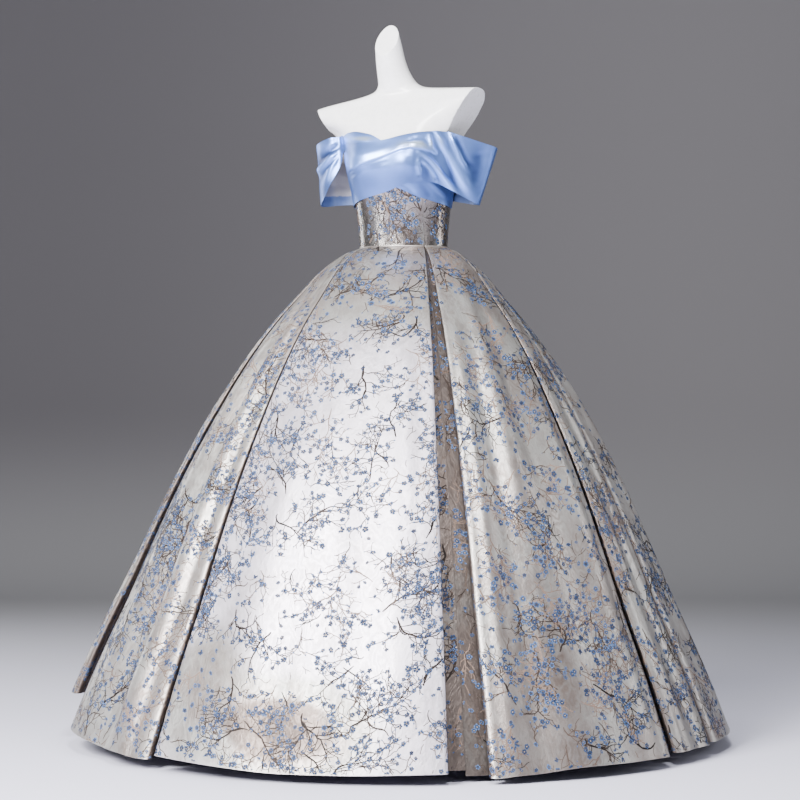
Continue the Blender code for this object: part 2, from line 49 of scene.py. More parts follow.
SLIM_WAIST, SHOULDER_TILT, ZIP_WIDTH = 0.0090, 0.085, 0.0050
UNDER_OUT = BROCADE / 2 + LAYER_GAP + SATIN / 2
OVER_OUT = UNDER_OUT + SATIN + LAYER_GAP
FORM_IN = BROCADE / 2 + LAYER_GAP
CUP_EASE = 0.030

# Middle of the bodice wall: z, half width, half depth in front, half depth behind
TORSO = np.array((
    (1.166, 0.1060, 0.0830, 0.0830), (1.200, 0.1078, 0.0855, 0.0832), (1.235, 0.1115, 0.0905, 0.0842),
    (1.270, 0.1165, 0.0965, 0.0860), (1.300, 0.1215, 0.1020, 0.0885), (1.335, 0.1275, 0.1060, 0.0915),
    (1.370, 0.1340, 0.1080, 0.0945), (1.405, 0.1415, 0.1060, 0.0970), (1.440, 0.1500, 0.0990, 0.0985),
))
CUP = {"x": 0.064, "z": 1.352, "out": 0.036, "wide": 0.042, "below": 0.034, "above": 0.050}
# Form outside the bodice: z, half width, depth in front, depth behind, middle x, middle y
HIPS = (
    (0.950, 0.1320, 0.0960, 0.1040, 0.0, 0.0), (0.956, 0.1380, 0.1010, 0.1100, 0.0, 0.0),
    (1.000, 0.1400, 0.1020, 0.1130, 0.0, 0.0), (1.050, 0.1320, 0.0980, 0.1080, 0.0, 0.0),
    (1.100, 0.1130, 0.0870, 0.0930, 0.0, 0.0), (1.140, 0.0995, 0.0765, 0.0785, 0.0, 0.0),
)
SHOULDERS = (
    (1.448, 0.1735, 0.0970, 0.0990, 0.0, 0.0), (1.462, 0.1960, 0.0910, 0.0990, 0.0, -0.001),
    (1.480, 0.2230, 0.0810, 0.0950, 0.0, -0.002), (1.496, 0.2400, 0.0690, 0.0850, 0.0, -0.004),
    (1.508, 0.2380, 0.0590, 0.0740, 0.0, -0.006), (1.517, 0.2120, 0.0530, 0.0660, 0.0, -0.008),
    (1.525, 0.1420, 0.0500, 0.0610, 0.0, -0.009), (1.531, 0.0900, 0.0480, 0.0570, -0.002, -0.012),
    (1.537, 0.0640, 0.0460, 0.0520, -0.004, -0.015), (1.545, 0.0505, 0.0440, 0.0480, -0.006, -0.020),
    (1.556, 0.0435, 0.0415, 0.0440, -0.008, -0.026), (1.581, 0.0378, 0.0390, 0.0400, -0.012, -0.040),
    (1.610, 0.0338, 0.0360, 0.0365, -0.0135, -0.055), (1.640, 0.0310, 0.0335, 0.0340, -0.0140, -0.066),
    (1.670, 0.0275, 0.0305, 0.0315, -0.0155, -0.077), (1.700, 0.0225, 0.0270, 0.0280, -0.0180, -0.086),
    (1.740, 0.0180, 0.0230, 0.0240, -0.0200, -0.096),
)
FORM_LEVELS = (
    1.166, 1.190, 1.215, 1.240, 1.262, 1.280, 1.296, 1.311,
    1.326, 1.341, 1.356, 1.372, 1.389, 1.406, 1.422, 1.437,
)
STUMP_TOP, STUMP_FOOT = (0.2075, 1.5250), (0.1500, 1.4200)
STUMP_SHIFT, STUMP_TURN, STUMP_OUT, STUMP_ROUND = -0.0120, 0.12, 0.18, 0.0016
ARM_OUT, ARM_Z, ARM_REACH = 0.018, (1.385, 1.440), (8.0, 24.0)
NECK_CUT = {"y": -0.0720, "z": 1.6560, "slope": 1.90, "turn": 0.42}
BASE_R, BASE_THICK, BASE_EDGE, POLE_R = 0.180, 0.012, 0.003, 0.0125
COLLAR_R, COLLAR_HIGH = 0.030, 0.030

# Camera: distance, turn and height, then the focal length and the shift to the right in pixels
CAMERA_AWAY, CAMERA_TURN, CAMERA_Z, FOCAL, SHIFT = 6.0, 20.0, 0.803, 2526.0, 3.5
PICTURE, SENSOR = 800, 36.0
# Paper sweep: floor lines toward the camera and away from it, bend radius, wall heights, half width
SWEEP_FLOOR, SWEEP_BEND, SWEEP_WALL, SWEEP_HALF = (9.0, 2.0, 0.0, -2.0, -4.2), 2.0, (4.0, 6.5), 7.0

# Skirt outline: share of the way down, share of the way out. Down to WAIST_HOLD it stays at the waist
WAIST_HOLD = 0.0026
PROFILE = np.array((
    (0.000, 0.000), (WAIST_HOLD, 0.000), (0.010, 0.036), (0.030, 0.088), (0.058, 0.143), (0.110, 0.218),
    (0.161, 0.291), (0.213, 0.355), (0.265, 0.412), (0.317, 0.464), (0.421, 0.561), (0.524, 0.648),
    (0.628, 0.727), (0.731, 0.802), (0.835, 0.884), (0.920, 0.946), (1.000, 1.000),
))
# How far the hem stands outside its circle: angle, distance
FLARE = np.array(((0, 0.0), (60, -0.003), (120, 0.0), (240, 0.006), (290, 0.016), (330, 0.005), (360, 0.0)))
# Pleats: waist angle, hem angle, half opening and layer depth at the hem, underlaps, edge radii at the hem.
# Four are a little tighter than the solids'
PLEATS = (
    (44.0, 30.5, 0.046, 0.026, 0.0150, 0.034, 0.010, 0.018),
    (98.0, 71.0, 0.012, 0.026, 0.0110, 0.032, 0.020, 0.030),
    (114.0, 85.5, 0.008, 0.028, 0.0075, 0.028, 0.026, 0.026),
    (150.0, 140.0, 0.030, 0.026, 0.0100, 0.032, 0.020, 0.020),
    (180.0, 180.0, 0.020, 0.026, 0.0100, 0.032, 0.016, 0.016),
    (210.0, 220.0, 0.030, 0.026, 0.0100, 0.032, 0.020, 0.020),
    (246.0, 264.0, 0.024, 0.028, 0.0110, 0.032, 0.022, 0.022),
    (284.0, 296.0, 0.009, 0.028, 0.0120, 0.032, 0.036, 0.026),
    (312.0, 334.4, 0.012, 0.030, 0.0150, 0.056, 0.044, 0.014),
)
# Gores: name, pleat before, hem rise at the first side, middle and last side, columns of the face, tone from
# lilac-white to silver-beige, partly the cloth's own colour and partly painted light for how each gore faces
# the lamps
GORES = (
    ("skirt_front_left", 0, -0.006, 0.006, 0.006, 54, 0.72),
    ("skirt_side_left", 1, 0.010, 0.012, 0.010, 20, 0.55),
    ("skirt_rear_side_left", 2, 0.012, 0.014, 0.012, 50, 0.45),
    ("skirt_back_left", 3, 0.010, 0.010, 0.006, 44, 0.35),
    ("skirt_back_right", 4, 0.006, 0.010, 0.012, 44, 0.35),
    ("skirt_rear_side_right", 5, 0.020, 0.050, 0.090, 44, 0.40),
    ("skirt_side_right", 6, 0.098, 0.094, 0.094, 36, 0.50),
    ("skirt_front_right", 7, 0.022, 0.016, 0.004, 46, 0.45),
    ("skirt_front", 8, 0.016, 0.002, 0.006, 60, 0.15),
)
# Browner patches of a gore: middle across and down, half widths across and down, how much warmer. Most are
# the cloth's jacquard clouds; the narrow one at the front_right's edge is painted shade beside the pleat gap
PATCHES = {
    "skirt_front": (
        (0.46, 0.925, 0.20, 0.060, 2.30), (0.12, 0.88, 0.14, 0.10, 0.70), (0.85, 0.70, 0.12, 0.30, -0.10),
    ),
    "skirt_front_left": ((0.30, 0.80, 0.30, 0.14, 0.30), (0.75, 0.55, 0.20, 0.16, -0.25)),
    # At share 0.94: painted shade beside the dark gap to the front gore
    "skirt_front_right": ((0.55, 0.40, 0.20, 0.20, 0.20), (0.94, 0.60, 0.05, 0.70, 0.40)),
}
# Soft creases down each gore: share across at the top and at the foot, share down at the top and at the foot,
# width at the top and at the foot in metres, height (below zero for a trough)
CREASES = {
    "skirt_front": (
        (0.16, 0.10, 0.16, 0.86, 0.012, 0.030, -0.0035),
        (0.30, 0.26, 0.30, 1.05, 0.020, 0.050, 0.0050),
        (0.52, 0.50, 0.08, 0.62, 0.014, 0.040, 0.0030),
        (0.66, 0.70, 0.24, 1.10, 0.018, 0.045, -0.0050),
        (0.84, 0.86, 0.10, 0.95, 0.010, 0.030, 0.0045),
        (0.42, 0.44, 0.70, 1.10, 0.020, 0.040, -0.0040),
    ),
    "skirt_front_left": (
        (0.10, 0.09, 0.10, 1.10, 0.010, 0.030, 0.0070),
        (0.20, 0.20, 0.14, 1.10, 0.012, 0.034, -0.0080),
        (0.40, 0.36, 0.00, 0.60, 0.008, 0.022, 0.0080),
        (0.62, 0.58, 0.00, 0.50, 0.008, 0.020, -0.0070),
        (0.50, 0.48, 0.30, 1.10, 0.020, 0.050, 0.0060),
        (0.70, 0.66, 0.16, 0.90, 0.014, 0.036, -0.0060),
        (0.88, 0.86, 0.20, 1.10, 0.012, 0.032, 0.0060),
    ),
    "skirt_side_left": (
        (0.50, 0.55, 0.20, 1.10, 0.008, 0.026, -0.0060),
    ),
    "skirt_rear_side_left": (
        (0.20, 0.18, 0.12, 1.10, 0.014, 0.036, 0.0090),
        (0.42, 0.40, 0.20, 1.10, 0.014, 0.040, -0.0090),
        (0.64, 0.66, 0.15, 0.92, 0.014, 0.040, 0.0080),
        (0.84, 0.82, 0.28, 1.10, 0.012, 0.034, -0.0060),
    ),
    "skirt_back_left": (
        (0.24, 0.20, 0.10, 1.10, 0.012, 0.040, 0.0080),
        (0.52, 0.55, 0.22, 1.10, 0.014, 0.044, -0.0080),
        (0.80, 0.78, 0.12, 0.88, 0.012, 0.036, 0.0060),
    ),
    "skirt_back_right": (
        (0.22, 0.26, 0.14, 0.94, 0.012, 0.038, 0.0070),
        (0.48, 0.44, 0.20, 1.10, 0.014, 0.046, -0.0090),
        (0.76, 0.80, 0.10, 1.10, 0.012, 0.038, 0.0080),
    ),
    "skirt_rear_side_right": (
        (0.26, 0.22, 0.12, 1.10, 0.012, 0.040, -0.0080),
        (0.50, 0.52, 0.16, 1.10, 0.014, 0.044, 0.0100),
        (0.80, 0.76, 0.24, 1.00, 0.012, 0.036, -0.0070),
    ),
    "skirt_side_right": (
        (0.30, 0.34, 0.14, 1.10, 0.012, 0.036, -0.0080),
        (0.66, 0.64, 0.18, 1.10, 0.012, 0.040, 0.0080),
    ),
    "skirt_front_right": (
        (0.20, 0.18, 0.18, 1.10, 0.014, 0.036, 0.0050),
        (0.38, 0.40, 0.12, 1.10, 0.012, 0.034, 0.0110),
        (0.64, 0.66, 0.00, 1.10, 0.012, 0.038, -0.0190),
        (0.84, 0.86, -0.10, 1.10, 0.014, 0.036, 0.0190),
    ),
}
# Painted shade: the tone deep in the pleats, which paints them brown, and the painted shade added to a cool
# gore's tone toward the waist
DEEP_PAINTED_SHADE, WAIST_PAINTED_SHADE = 1.30, 0.95
# Rows down a gore, and the spacing of the branches on the gores and on the bodice
SKIRT_DOWN, GORE_CELL, BODICE_CELL = 72, 0.066, 0.062

# Bodice panels: name, first and last angle at the waist, first and last angle at the top
BODICE = (
    ("bodice_front", -44.0, 44.0, -34.0, 34.0), ("bodice_side_front_left", 44.0, 92.0, 34.0, 90.0),
    ("bodice_side_back_left", 92.0, 138.0, 90.0, 138.0), ("bodice_back_left", 138.0, 180.0, 138.0, 180.0),
    ("bodice_side_front_right", -92.0, -44.0, -90.0, -34.0),
    ("bodice_side_back_right", -138.0, -92.0, -138.0, -90.0),
    ("bodice_back_right", -180.0, -138.0, -180.0, -138.0),
)
BODICE_TALL, BACK_TOP, BODICE_WARMTH = 0.193, 1.352, 0.84
# The bodice's upper edge: angle to either side, height
BODICE_TOP = np.array((
    (0, 1.399), (18, 1.407), (34, 1.417), (55, 1.412), (90, BACK_TOP), (138, BACK_TOP), (180, BACK_TOP),
))

# Satin bands: angle, lower edge, upper edge
OVER_BAND = np.array((
    (-93, 1.2580, 1.380), (-70, 1.2640, 1.388), (-35, 1.2770, 1.398), (0, 1.2920, 1.408),
    (19, 1.3080, 1.4180), (36, 1.3150, 1.427), (48, 1.3180, 1.431),
))
UNDER_BAND = np.array((
    (-62, 1.3300, 1.432), (-40, 1.3250, 1.434), (-18, 1.3170, 1.424), (0, 1.3060, 1.402),
    (12, 1.2990, 1.393), (35, 1.2780, 1.380), (60, 1.2660, 1.368), (93, 1.2560, 1.362),
))
BACK_BAND = np.array(((93.4, 1.2560, 1.362), (135, 1.2600, 1.364), (180, 1.2640, 1.366)))
BACK_BAND_RIGHT = np.array(((180, 1.2640, 1.366), (225, 1.2610, 1.372), (266.6, 1.2580, 1.379)))
# Sleeves, for the lower edge and then the upper: on the bodice, angle and distance out, and free of it, x and
# y, with the height of both edges last
SLEEVE_LEFT = (
    ("body", 48.3, OVER_OUT, 48.3, OVER_OUT, 1.3180, 1.4310),
    ("body", 62.0, 0.0075, 62.0, 0.0060, 1.3080, 1.4300),
    ("free", 0.1400, -0.0640, 0.1520, -0.0640, 1.2930, 1.4240),
    ("free", 0.1620, -0.0450, 0.1900, -0.0400, 1.2790, 1.4100),
    ("free", 0.1840, -0.0200, 0.2270, -0.0160, 1.2650, 1.3970),
    ("free", 0.1890, -0.0010, 0.2330, 0.0010, 1.2610, 1.3930),
    ("free", 0.1830, 0.0170, 0.2240, 0.0180, 1.2620, 1.3910),
    ("free", 0.1600, 0.0400, 0.1830, 0.0450, 1.2660, 1.3850),
    ("body", 106.0, 0.0060, 108.0, 0.0080, 1.2740, 1.3740),
    ("body", 116.0, OVER_OUT, 118.0, OVER_OUT, 1.2760, 1.3600),
    ("body", 122.0, OVER_OUT, 124.0, OVER_OUT, 1.2770, 1.3580),
)
SLEEVE_RIGHT = (
    ("body", -62.3, UNDER_OUT, -62.3, UNDER_OUT, 1.3950, 1.4320),
    ("body", -66.8, 0.0088, -67.5, 0.0055, 1.3910, 1.4320),
    ("body", -72.5, 0.0120, -74.0, 0.0085, 1.3680, 1.4310),
    ("free", -0.1620, -0.0520, -0.1680, -0.0440, 1.3240, 1.4280),
    ("free", -0.1880, -0.0360, -0.1990, -0.0260, 1.2860, 1.4210),
    ("free", -0.2050, -0.0150, -0.2180, -0.0080, 1.2700, 1.4150),
    ("free", -0.2090, 0.0040, -0.2220, 0.0060, 1.2680, 1.4130),
    ("free", -0.2040, 0.0200, -0.2150, 0.0220, 1.2680, 1.4100),
    ("free", -0.1840, 0.0390, -0.1880, 0.0420, 1.2720, 1.4000),
    ("body", -106.0, 0.0120, -106.0, 0.0120, 1.2740, 1.3880),
    ("body", -118.0, OVER_OUT, -118.0, OVER_OUT, 1.2760, 1.3640),
    ("body", -124.0, OVER_OUT, -124.0, OVER_OUT, 1.2770, 1.3600),
)
# Folds of the satin where the camera sees them, in pixels of the 800-pixel picture:
# the line of the fold, its width at the start and at the end in pixels, height in metres
OVER_FOLDS = (
    (((434, 130), (445, 148), (452, 162), (462, 180), (472, 198)), 2.6, 4.5, 0.0058),
    (((431, 131), (437, 146), (446, 164), (456, 184), (464, 197)), 2.0, 3.2, -0.0050),
    (((450, 134), (457, 150), (461, 160), (468, 171)), 1.0, 1.8, 0.0036),
    (((455, 135), (462, 150), (466, 160), (474, 172)), 1.8, 3.0, -0.0030),
    (((419, 152), (430, 160), (440, 172), (452, 187), (461, 197)), 1.6, 2.8, 0.0052),
    (((430, 153), (440, 160), (445, 170), (452, 180)), 1.6, 2.2, -0.0034),
    (((422, 160), (430, 170), (437, 181)), 0.9, 1.5, 0.0052),
    (((424, 165), (428, 172), (432, 182)), 0.8, 1.2, -0.0032),
    (((420, 162), (424, 170), (426, 180)), 0.9, 1.3, -0.0044),
    (((419, 158), (418, 166), (420, 178)), 1.3, 2.0, 0.0030),
    (((412, 156), (410, 166), (412, 178)), 3.0, 4.0, -0.0012),
    (((430, 131), (431, 140), (431, 149)), 1.6, 1.2, 0.0026),
    (((405, 144), (414, 139), (424, 139), (430, 146)), 1.6, 2.4, -0.0022),
    (((398, 147), (408, 143), (420, 145), (428, 150)), 1.2, 1.2, 0.0014),
    (((349, 177), (362, 170), (378, 165), (392, 160)), 1.0, 1.4, -0.0009),
    (((351, 158), (362, 156), (380, 151), (396, 146)), 2.0, 2.4, 0.0008),
    (((478, 150), (480, 168), (476, 190)), 6.0, 6.0, -0.0030),
    (((486, 152), (485, 168), (480, 192)), 4.0, 4.0, 0.0022),
    (((494, 147), (487, 176), (478, 206)), 1.1, 1.1, 0.0016),
)
# A step along a line: the cloth above the line lies over the cloth below it
OVER_STEPS = (
    (((346, 174), (360, 165), (380, 158), (400, 150), (410, 148), (420, 149), (431, 152), (441, 160)),
     0.5, 0.0038),
)
RIGHT_SLEEVE_FOLDS = (
    (((308, 182), (320, 168), (330, 158), (339, 151)), 2.2, 1.6, 0.0044),
    (((312, 168), (324, 157), (333, 149), (340, 145)), 3.2, 2.6, -0.0040),
    (((318, 149), (328, 147), (338, 141)), 2.6, 2.2, 0.0020),
    (((325, 184), (332, 166), (340, 155)), 1.9, 1.2, 0.0026),
    (((318, 184), (326, 169), (335, 158)), 1.9, 1.3, -0.0020),
)
UNDER_FOLDS = (
    (((345, 136), (356, 139), (372, 141)), 2.6, 2.6, 0.0012),
    (((345, 144), (356, 144), (368, 143)), 1.0, 1.2, -0.0012),
    (((402, 182), (410, 187), (418, 195)), 1.6, 2.0, 0.0018),
    (((418, 182), (424, 190), (430, 199)), 2.2, 2.4, -0.0016),
    (((430, 184), (438, 190), (447, 197)), 1.4, 1.6, 0.0018),
)
# Where the satin turns to the light or away from it: place and half widths in pixels, lighter or darker
SATIN_LIGHT = (
    (416, 142, 24, 7, 0.34), (366, 139, 24, 5, 0.50), (422, 140, 10, 5, 0.16), (364, 138, 14, 3, 0.25),
    (386, 158, 26, 9, 0.20), (478, 166, 15, 44, -0.12), (452, 150, 8, 16, -0.26), (436, 188, 16, 9, -0.16),
    (426, 172, 4, 10, -0.30), (440, 160, 4, 14, 0.22), (324, 192, 12, 10, -0.20), (322, 148, 10, 8, 0.16),
    (337, 168, 6, 12, 0.12), (408, 196, 26, 5, -0.14),
)
# Folds out of the camera's sight, on a grid of shares along and across: start, end, widths, height
OVER_HIDDEN = (
    (0.80, 0.30, 0.94, 0.42, 0.060, 0.070, 0.0040), (0.79, 0.70, 0.95, 0.60, 0.060, 0.060, -0.0040),
    (0.82, 0.86, 0.96, 0.76, 0.050, 0.060, 0.0034), (0.84, 0.16, 0.97, 0.30, 0.050, 0.050, 0.0026),
)
RIGHT_HIDDEN = (
    (0.60, 0.30, 0.76, 0.42, 0.070, 0.080, 0.0040), (0.58, 0.66, 0.80, 0.58, 0.070, 0.060, -0.0034),
    (0.62, 0.35, 0.92, 0.40, 0.060, 0.060, 0.0030), (0.62, 0.84, 0.90, 0.80, 0.050, 0.050, 0.0026),
)
# Painted highlight and painted shade on the satin's folds: the most of a fold's height that paints the satin
# lighter or darker, how much lighter for each metre, the palest painted tone
FOLD_MOST, FOLD_PAINTED_LIGHT, TONE_MOST = 0.004, 125.0, 1.6

# Branches: for a main branch, a side branch, a twig and a spur, the step between kinks and the bend at each
TWIG_STEP = (0.0080, 0.0065, 0.0055, 0.0050)
TWIG_BEND = (0.16, 0.24, 0.34, 0.40)
# For the first three, the chance of a fork at a kink, its share of the length and its least width
TWIG_FORK = (0.80, 0.62, 0.32)
TWIG_REACH = ((0.28, 0.62), (0.25, 0.60), (0.3, 0.6))
TWIG_LEAST = (0.0029, 0.0023, 0.0019)
# Heights over the cloth, and a petal's outline: shares of its length and angles from its middle line
TWIG_LIFT, PETAL_LIFT, HEART_LIFT = 0.00030, 0.00045, 0.00060
PETAL = ((0.10, 0.0), (0.60, -0.60), (0.90, -0.46), (1.0, -0.14), (1.0, 0.16), (0.88, 0.48), (0.60, 0.60))
# Side of the squares that sort the blossoms, and loose twigs and blossoms for each square metre
FLOWER_CELL, LOOSE_TWIGS = 0.016, 520


def around(distance, azimuth, height):
    a = math.radians(azimuth)
    return (distance * math.sin(a), -distance * math.cos(a), height)


def smooth(low, high, at):
    t = np.clip((np.asarray(at, float) - low) / (high - low), 0.0, 1.0)
    return t * t * (3 - 2 * t)


def spline(rows, at):
    """Smooth columns through every row, for an array of places."""
    at = np.asarray(at, float)
    x, y = rows[:, 0], rows[:, 1:]
    h = np.diff(x)
    step = np.diff(y, axis=0) / h[:, None]
    slope = np.zeros_like(y)
    a, b = step[:-1], step[1:]
    with np.errstate(divide="ignore", invalid="ignore"):
        mean = np.where(a * b > 0, 2 * a * b / (a + b), 0.0)
    slope[1:-1] = np.nan_to_num(mean)
    slope[0], slope[-1] = step[0], step[-1]
    q = np.clip(at, x[0], x[-1])
    i = np.clip(np.searchsorted(x, q, side="right") - 1, 0, len(x) - 2)
    t = ((q - x[i]) / h[i])[..., None]
    hh = h[i][..., None]
    return (
        y[i] * (2 * t**3 - 3 * t**2 + 1) + slope[i] * hh * (t**3 - 2 * t**2 + t)
        + y[i + 1] * (3 * t**2 - 2 * t**3) + slope[i + 1] * hh * (t**3 - t**2)
    )


def unit(v):
    return v / np.maximum(np.linalg.norm(v, axis=-1, keepdims=True), 1e-12)


# Bodice surface

def cups(x, z):
    spread = np.where(z < CUP["z"], CUP["below"], CUP["above"])
    high = np.exp(-(((z - CUP["z"]) / spread) ** 2) / 2)
    return CUP["out"] * high * sum(np.exp(-(((x - s * CUP["x"]) / CUP["wide"]) ** 2) / 2) for s in (-1, 1))


def facing(a):
    return np.sqrt(np.clip(np.cos(a), 0.0, None))


def body_middle(angle, z):
    angle, z = np.broadcast_arrays(np.asarray(angle, float), np.asarray(z, float))
    a = np.radians(angle)
    row = spline(TORSO, z)
    x = row[..., 0] * np.sin(a)
    depth = np.where(np.cos(a) > 0, row[..., 1], row[..., 2])
    return np.stack([x, -depth * np.cos(a) - cups(x, z) * facing(a), z], -1)


def body_at(angle, z, out=0.0):
    p = body_middle(angle, z)
    along = body_middle(np.asarray(angle) + 0.5, z) - body_middle(np.asarray(angle) - 0.5, z)
    rise = body_middle(angle, np.asarray(z) + 0.001) - body_middle(angle, np.asarray(z) - 0.001)
    return p + unit(np.cross(along, rise)) * np.asarray(out)[..., None]


def cup_push(angle, z):
    a = np.radians(angle)
    return cups(spline(TORSO, z)[..., 0] * np.sin(a), z) * facing(a)


def degrees_for(angle, z, length):
    return length / np.linalg.norm(body_middle(angle + 0.5, z) - body_middle(angle - 0.5, z))


# Meshes

def grid_normals(p):
    return unit(np.cross(np.gradient(p, axis=1), np.gradient(p, axis=0)))


def outward(n, p):
    """1 where the normals at the middle of the grid face away from the upright axis, or else -1."""
    middle = p.shape[0] // 2, p.shape[1] // 2
    return 1.0 if (n[middle][:2] * p[middle][:2]).sum() > 0 else -1.0


def pushed(p, push):
    n = grid_normals(p)
    return p + n * (outward(n, p) * push)[..., None]


def arc_map(p, middle):
    """Metres across from the middle column and metres down from the first row."""
    across = np.zeros(p.shape[:2])
    across[:, 1:] = np.cumsum(np.linalg.norm(np.diff(p, axis=1), axis=2), axis=1)
    across -= across[:, middle:middle + 1]
    down = np.concatenate([[0.0], np.cumsum(np.linalg.norm(np.diff(p[:, middle], axis=0), axis=1))])
    return across, np.broadcast_to(down[:, None], across.shape).copy()


def flat_size(across, deep):
    """Width, height and area of a cloth laid flat."""
    area = float(np.trapz(across.max(1) - across.min(1), deep[:, 0]))
    return float(across.max() - across.min()), float(deep.max()), area


def new_mesh(name, points, faces, looks):
    mesh = bpy.data.meshes.new(name)
    mesh.from_pydata([tuple(v) for v in points], [], [tuple(int(i) for i in f) for f in faces])
    mesh.polygons.foreach_set("use_smooth", [True] * len(mesh.polygons))
    for look in looks:
        mesh.materials.append(look)
    obj = bpy.data.objects.new(name, mesh)
    bpy.context.scene.collection.objects.link(obj)
    return obj


def grid_faces(rows, cols, start=0, turn=False):
    r, c = np.meshgrid(np.arange(rows - 1), np.arange(cols - 1), indexing="ij")
    a = start + r * cols + c
    quads = np.stack([a, a + 1, a + cols + 1, a + cols], -1).reshape(-1, 4)
    return quads[:, ::-1] if turn else quads


def tube_faces(rings, sides):
    """Faces of a tube of rings, with both ends closed."""
    faces = []
    for r in range(rings - 1):
        for c in range(sides):
            d = (c + 1) % sides
            faces.append((r * sides + c, r * sides + d, (r + 1) * sides + d, (r + 1) * sides + c))
    return [*faces, tuple(reversed(range(sides))), tuple((rings - 1) * sides + c for c in range(sides))]


def shell(name, p, wall, looks, uv, tone=0.5, facing_out=1.0):
    """Closed cloth round a grid of middle points: outside, inside and crisp rims between them."""
    rows, cols = p.shape[:2]
    n = grid_normals(p) * facing_out
    out, inn = p + n * wall / 2, p - n * wall / 2
    count = rows * cols
    flip = facing_out < 0
    loop = (
        [(0, c) for c in range(cols)] + [(r, cols - 1) for r in range(1, rows)]
        + [(rows - 1, c) for c in range(cols - 2, -1, -1)] + [(r, 0) for r in range(rows - 2, 0, -1)]
    )
    ring = np.array([r * cols + c for r, c in loop])
    after = np.roll(ring, -1)
    rim = np.stack([ring, after, after + count, ring + count], -1)
    faces = np.concatenate([
        grid_faces(rows, cols, 0, not flip), grid_faces(rows, cols, count, flip),
        rim if not flip else rim[:, ::-1],
    ])
    obj = new_mesh(name, np.concatenate([out.reshape(-1, 3), inn.reshape(-1, 3)]), faces, looks)
    mesh = obj.data
    inside = len(grid_faces(rows, cols))
    marks = np.zeros(len(mesh.polygons), np.int32)
    marks[inside:] = 1 if len(looks) > 1 else 0
    mesh.polygons.foreach_set("material_index", marks)
    layer = mesh.uv_layers.new(name="cloth")
    corner = np.zeros(len(mesh.loops), np.int32)
    mesh.loops.foreach_get("vertex_index", corner)
    flat = np.concatenate([uv.reshape(-1, 2), uv.reshape(-1, 2)])
    layer.data.foreach_set("uv", flat[corner].ravel())
    tones = np.tile(np.broadcast_to(np.asarray(tone, float), (rows, cols)).ravel(), 2)
    mesh.attributes.new("tone", "FLOAT", "POINT").data.foreach_set("value", tones)
    on_rim = np.zeros(2 * count, bool)
    on_rim[ring] = on_rim[ring + count] = True
    ends = np.zeros(2 * len(mesh.edges), np.int32)
    mesh.edges.foreach_get("vertices", ends)
    ends = ends.reshape(-1, 2)
    sharp = on_rim[ends].all(1) & ((ends < count).all(1) | (ends >= count).all(1))
    mesh.edges.foreach_set("use_edge_sharp", sharp)
    mesh.update()
    return obj, n


def declare(obj, slot, *nodes):
    """Tells the frame the piece's body and the solids that it stands for. The slot is not used."""
    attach(obj, "root")
    if nodes:
        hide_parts(*nodes)


# Node helper: sockets that add, multiply and compare like numbers

class Tree:
    def __init__(self, name):
        self.material = bpy.data.materials.new(name)
        self.material.use_nodes = True
        self.nodes = self.material.node_tree.nodes
        self.links = self.material.node_tree.links
        self.shader = self.nodes["Principled BSDF"]

    def node(self, kind, inputs=None, **settings):
        made = self.nodes.new(kind)
        for key, value in settings.items():
            setattr(made, key, value)
        for key, value in (inputs or {}).items():
            self.put(made.inputs[key], value)
        return made

    def put(self, socket, value):
        if isinstance(value, Value):
            self.links.new(value.socket, socket)
        else:
            socket.default_value = value

    def value(self, socket):
        return Value(self, socket)

    def mix(self, a, b, share):
        made = self.nodes.new("ShaderNodeMix")
        made.data_type = "RGBA"
        self.put(made.inputs[0], share)
        self.put(made.inputs[6], a)
        self.put(made.inputs[7], b)
        return Value(self, made.outputs[2])

    def set(self, **inputs):
        for key, value in inputs.items():
            self.put(self.shader.inputs[key.replace("_", " ")], value)


class Value:
    def __init__(self, tree, socket):
        self.tree, self.socket = tree, socket

    def maths(self, operation, *others):
        made = self.tree.nodes.new("ShaderNodeMath")
        made.operation = operation
        for i, value in enumerate((self, *others)):
            self.tree.put(made.inputs[i], value)
        return Value(self.tree, made.outputs[0])

    def __add__(self, other):
        return self.maths("ADD", other)

    def __mul__(self, other):
        return self.maths("MULTIPLY", other)

    def __sub__(self, other):
        return self.maths("SUBTRACT", other)

    def __radd__(self, other):
        return self + other

    def __rsub__(self, other):
        return (self * -1.0) + other

    def step(self, low, high):
        made = self.tree.nodes.new("ShaderNodeMapRange")
        made.interpolation_type = "SMOOTHSTEP"
        self.tree.put(made.inputs["Value"], self)
        made.inputs["From Min"].default_value = low
        made.inputs["From Max"].default_value = high
        return Value(self.tree, made.outputs["Result"])


def noise(tree, where, scale, detail=3.0, roughness=0.5):
    inputs = {"Vector": where, "Scale": scale, "Detail": detail, "Roughness": roughness}
    return tree.value(tree.node("ShaderNodeTexNoise", inputs).outputs["Fac"])


def stretched(tree, where, across, down):
    made = tree.node("ShaderNodeVectorMath", {0: where, 1: (across, down, 1.0)}, operation="MULTIPLY")
    return tree.value(made.outputs["Vector"])


def cloth_place(tree):
    return tree.value(tree.node("ShaderNodeUVMap", uv_map="cloth").outputs["UV"])


def written(tree, name):
    """A number that the mesh carries with each point."""
    return tree.value(tree.node("ShaderNodeAttribute", attribute_name=name).outputs["Fac"])


def roughen(tree, high, strength, distance):
    bump = tree.node("ShaderNodeBump", {"Height": high, "Strength": strength, "Distance": distance})
    tree.set(Normal=tree.value(bump.outputs["Normal"]))


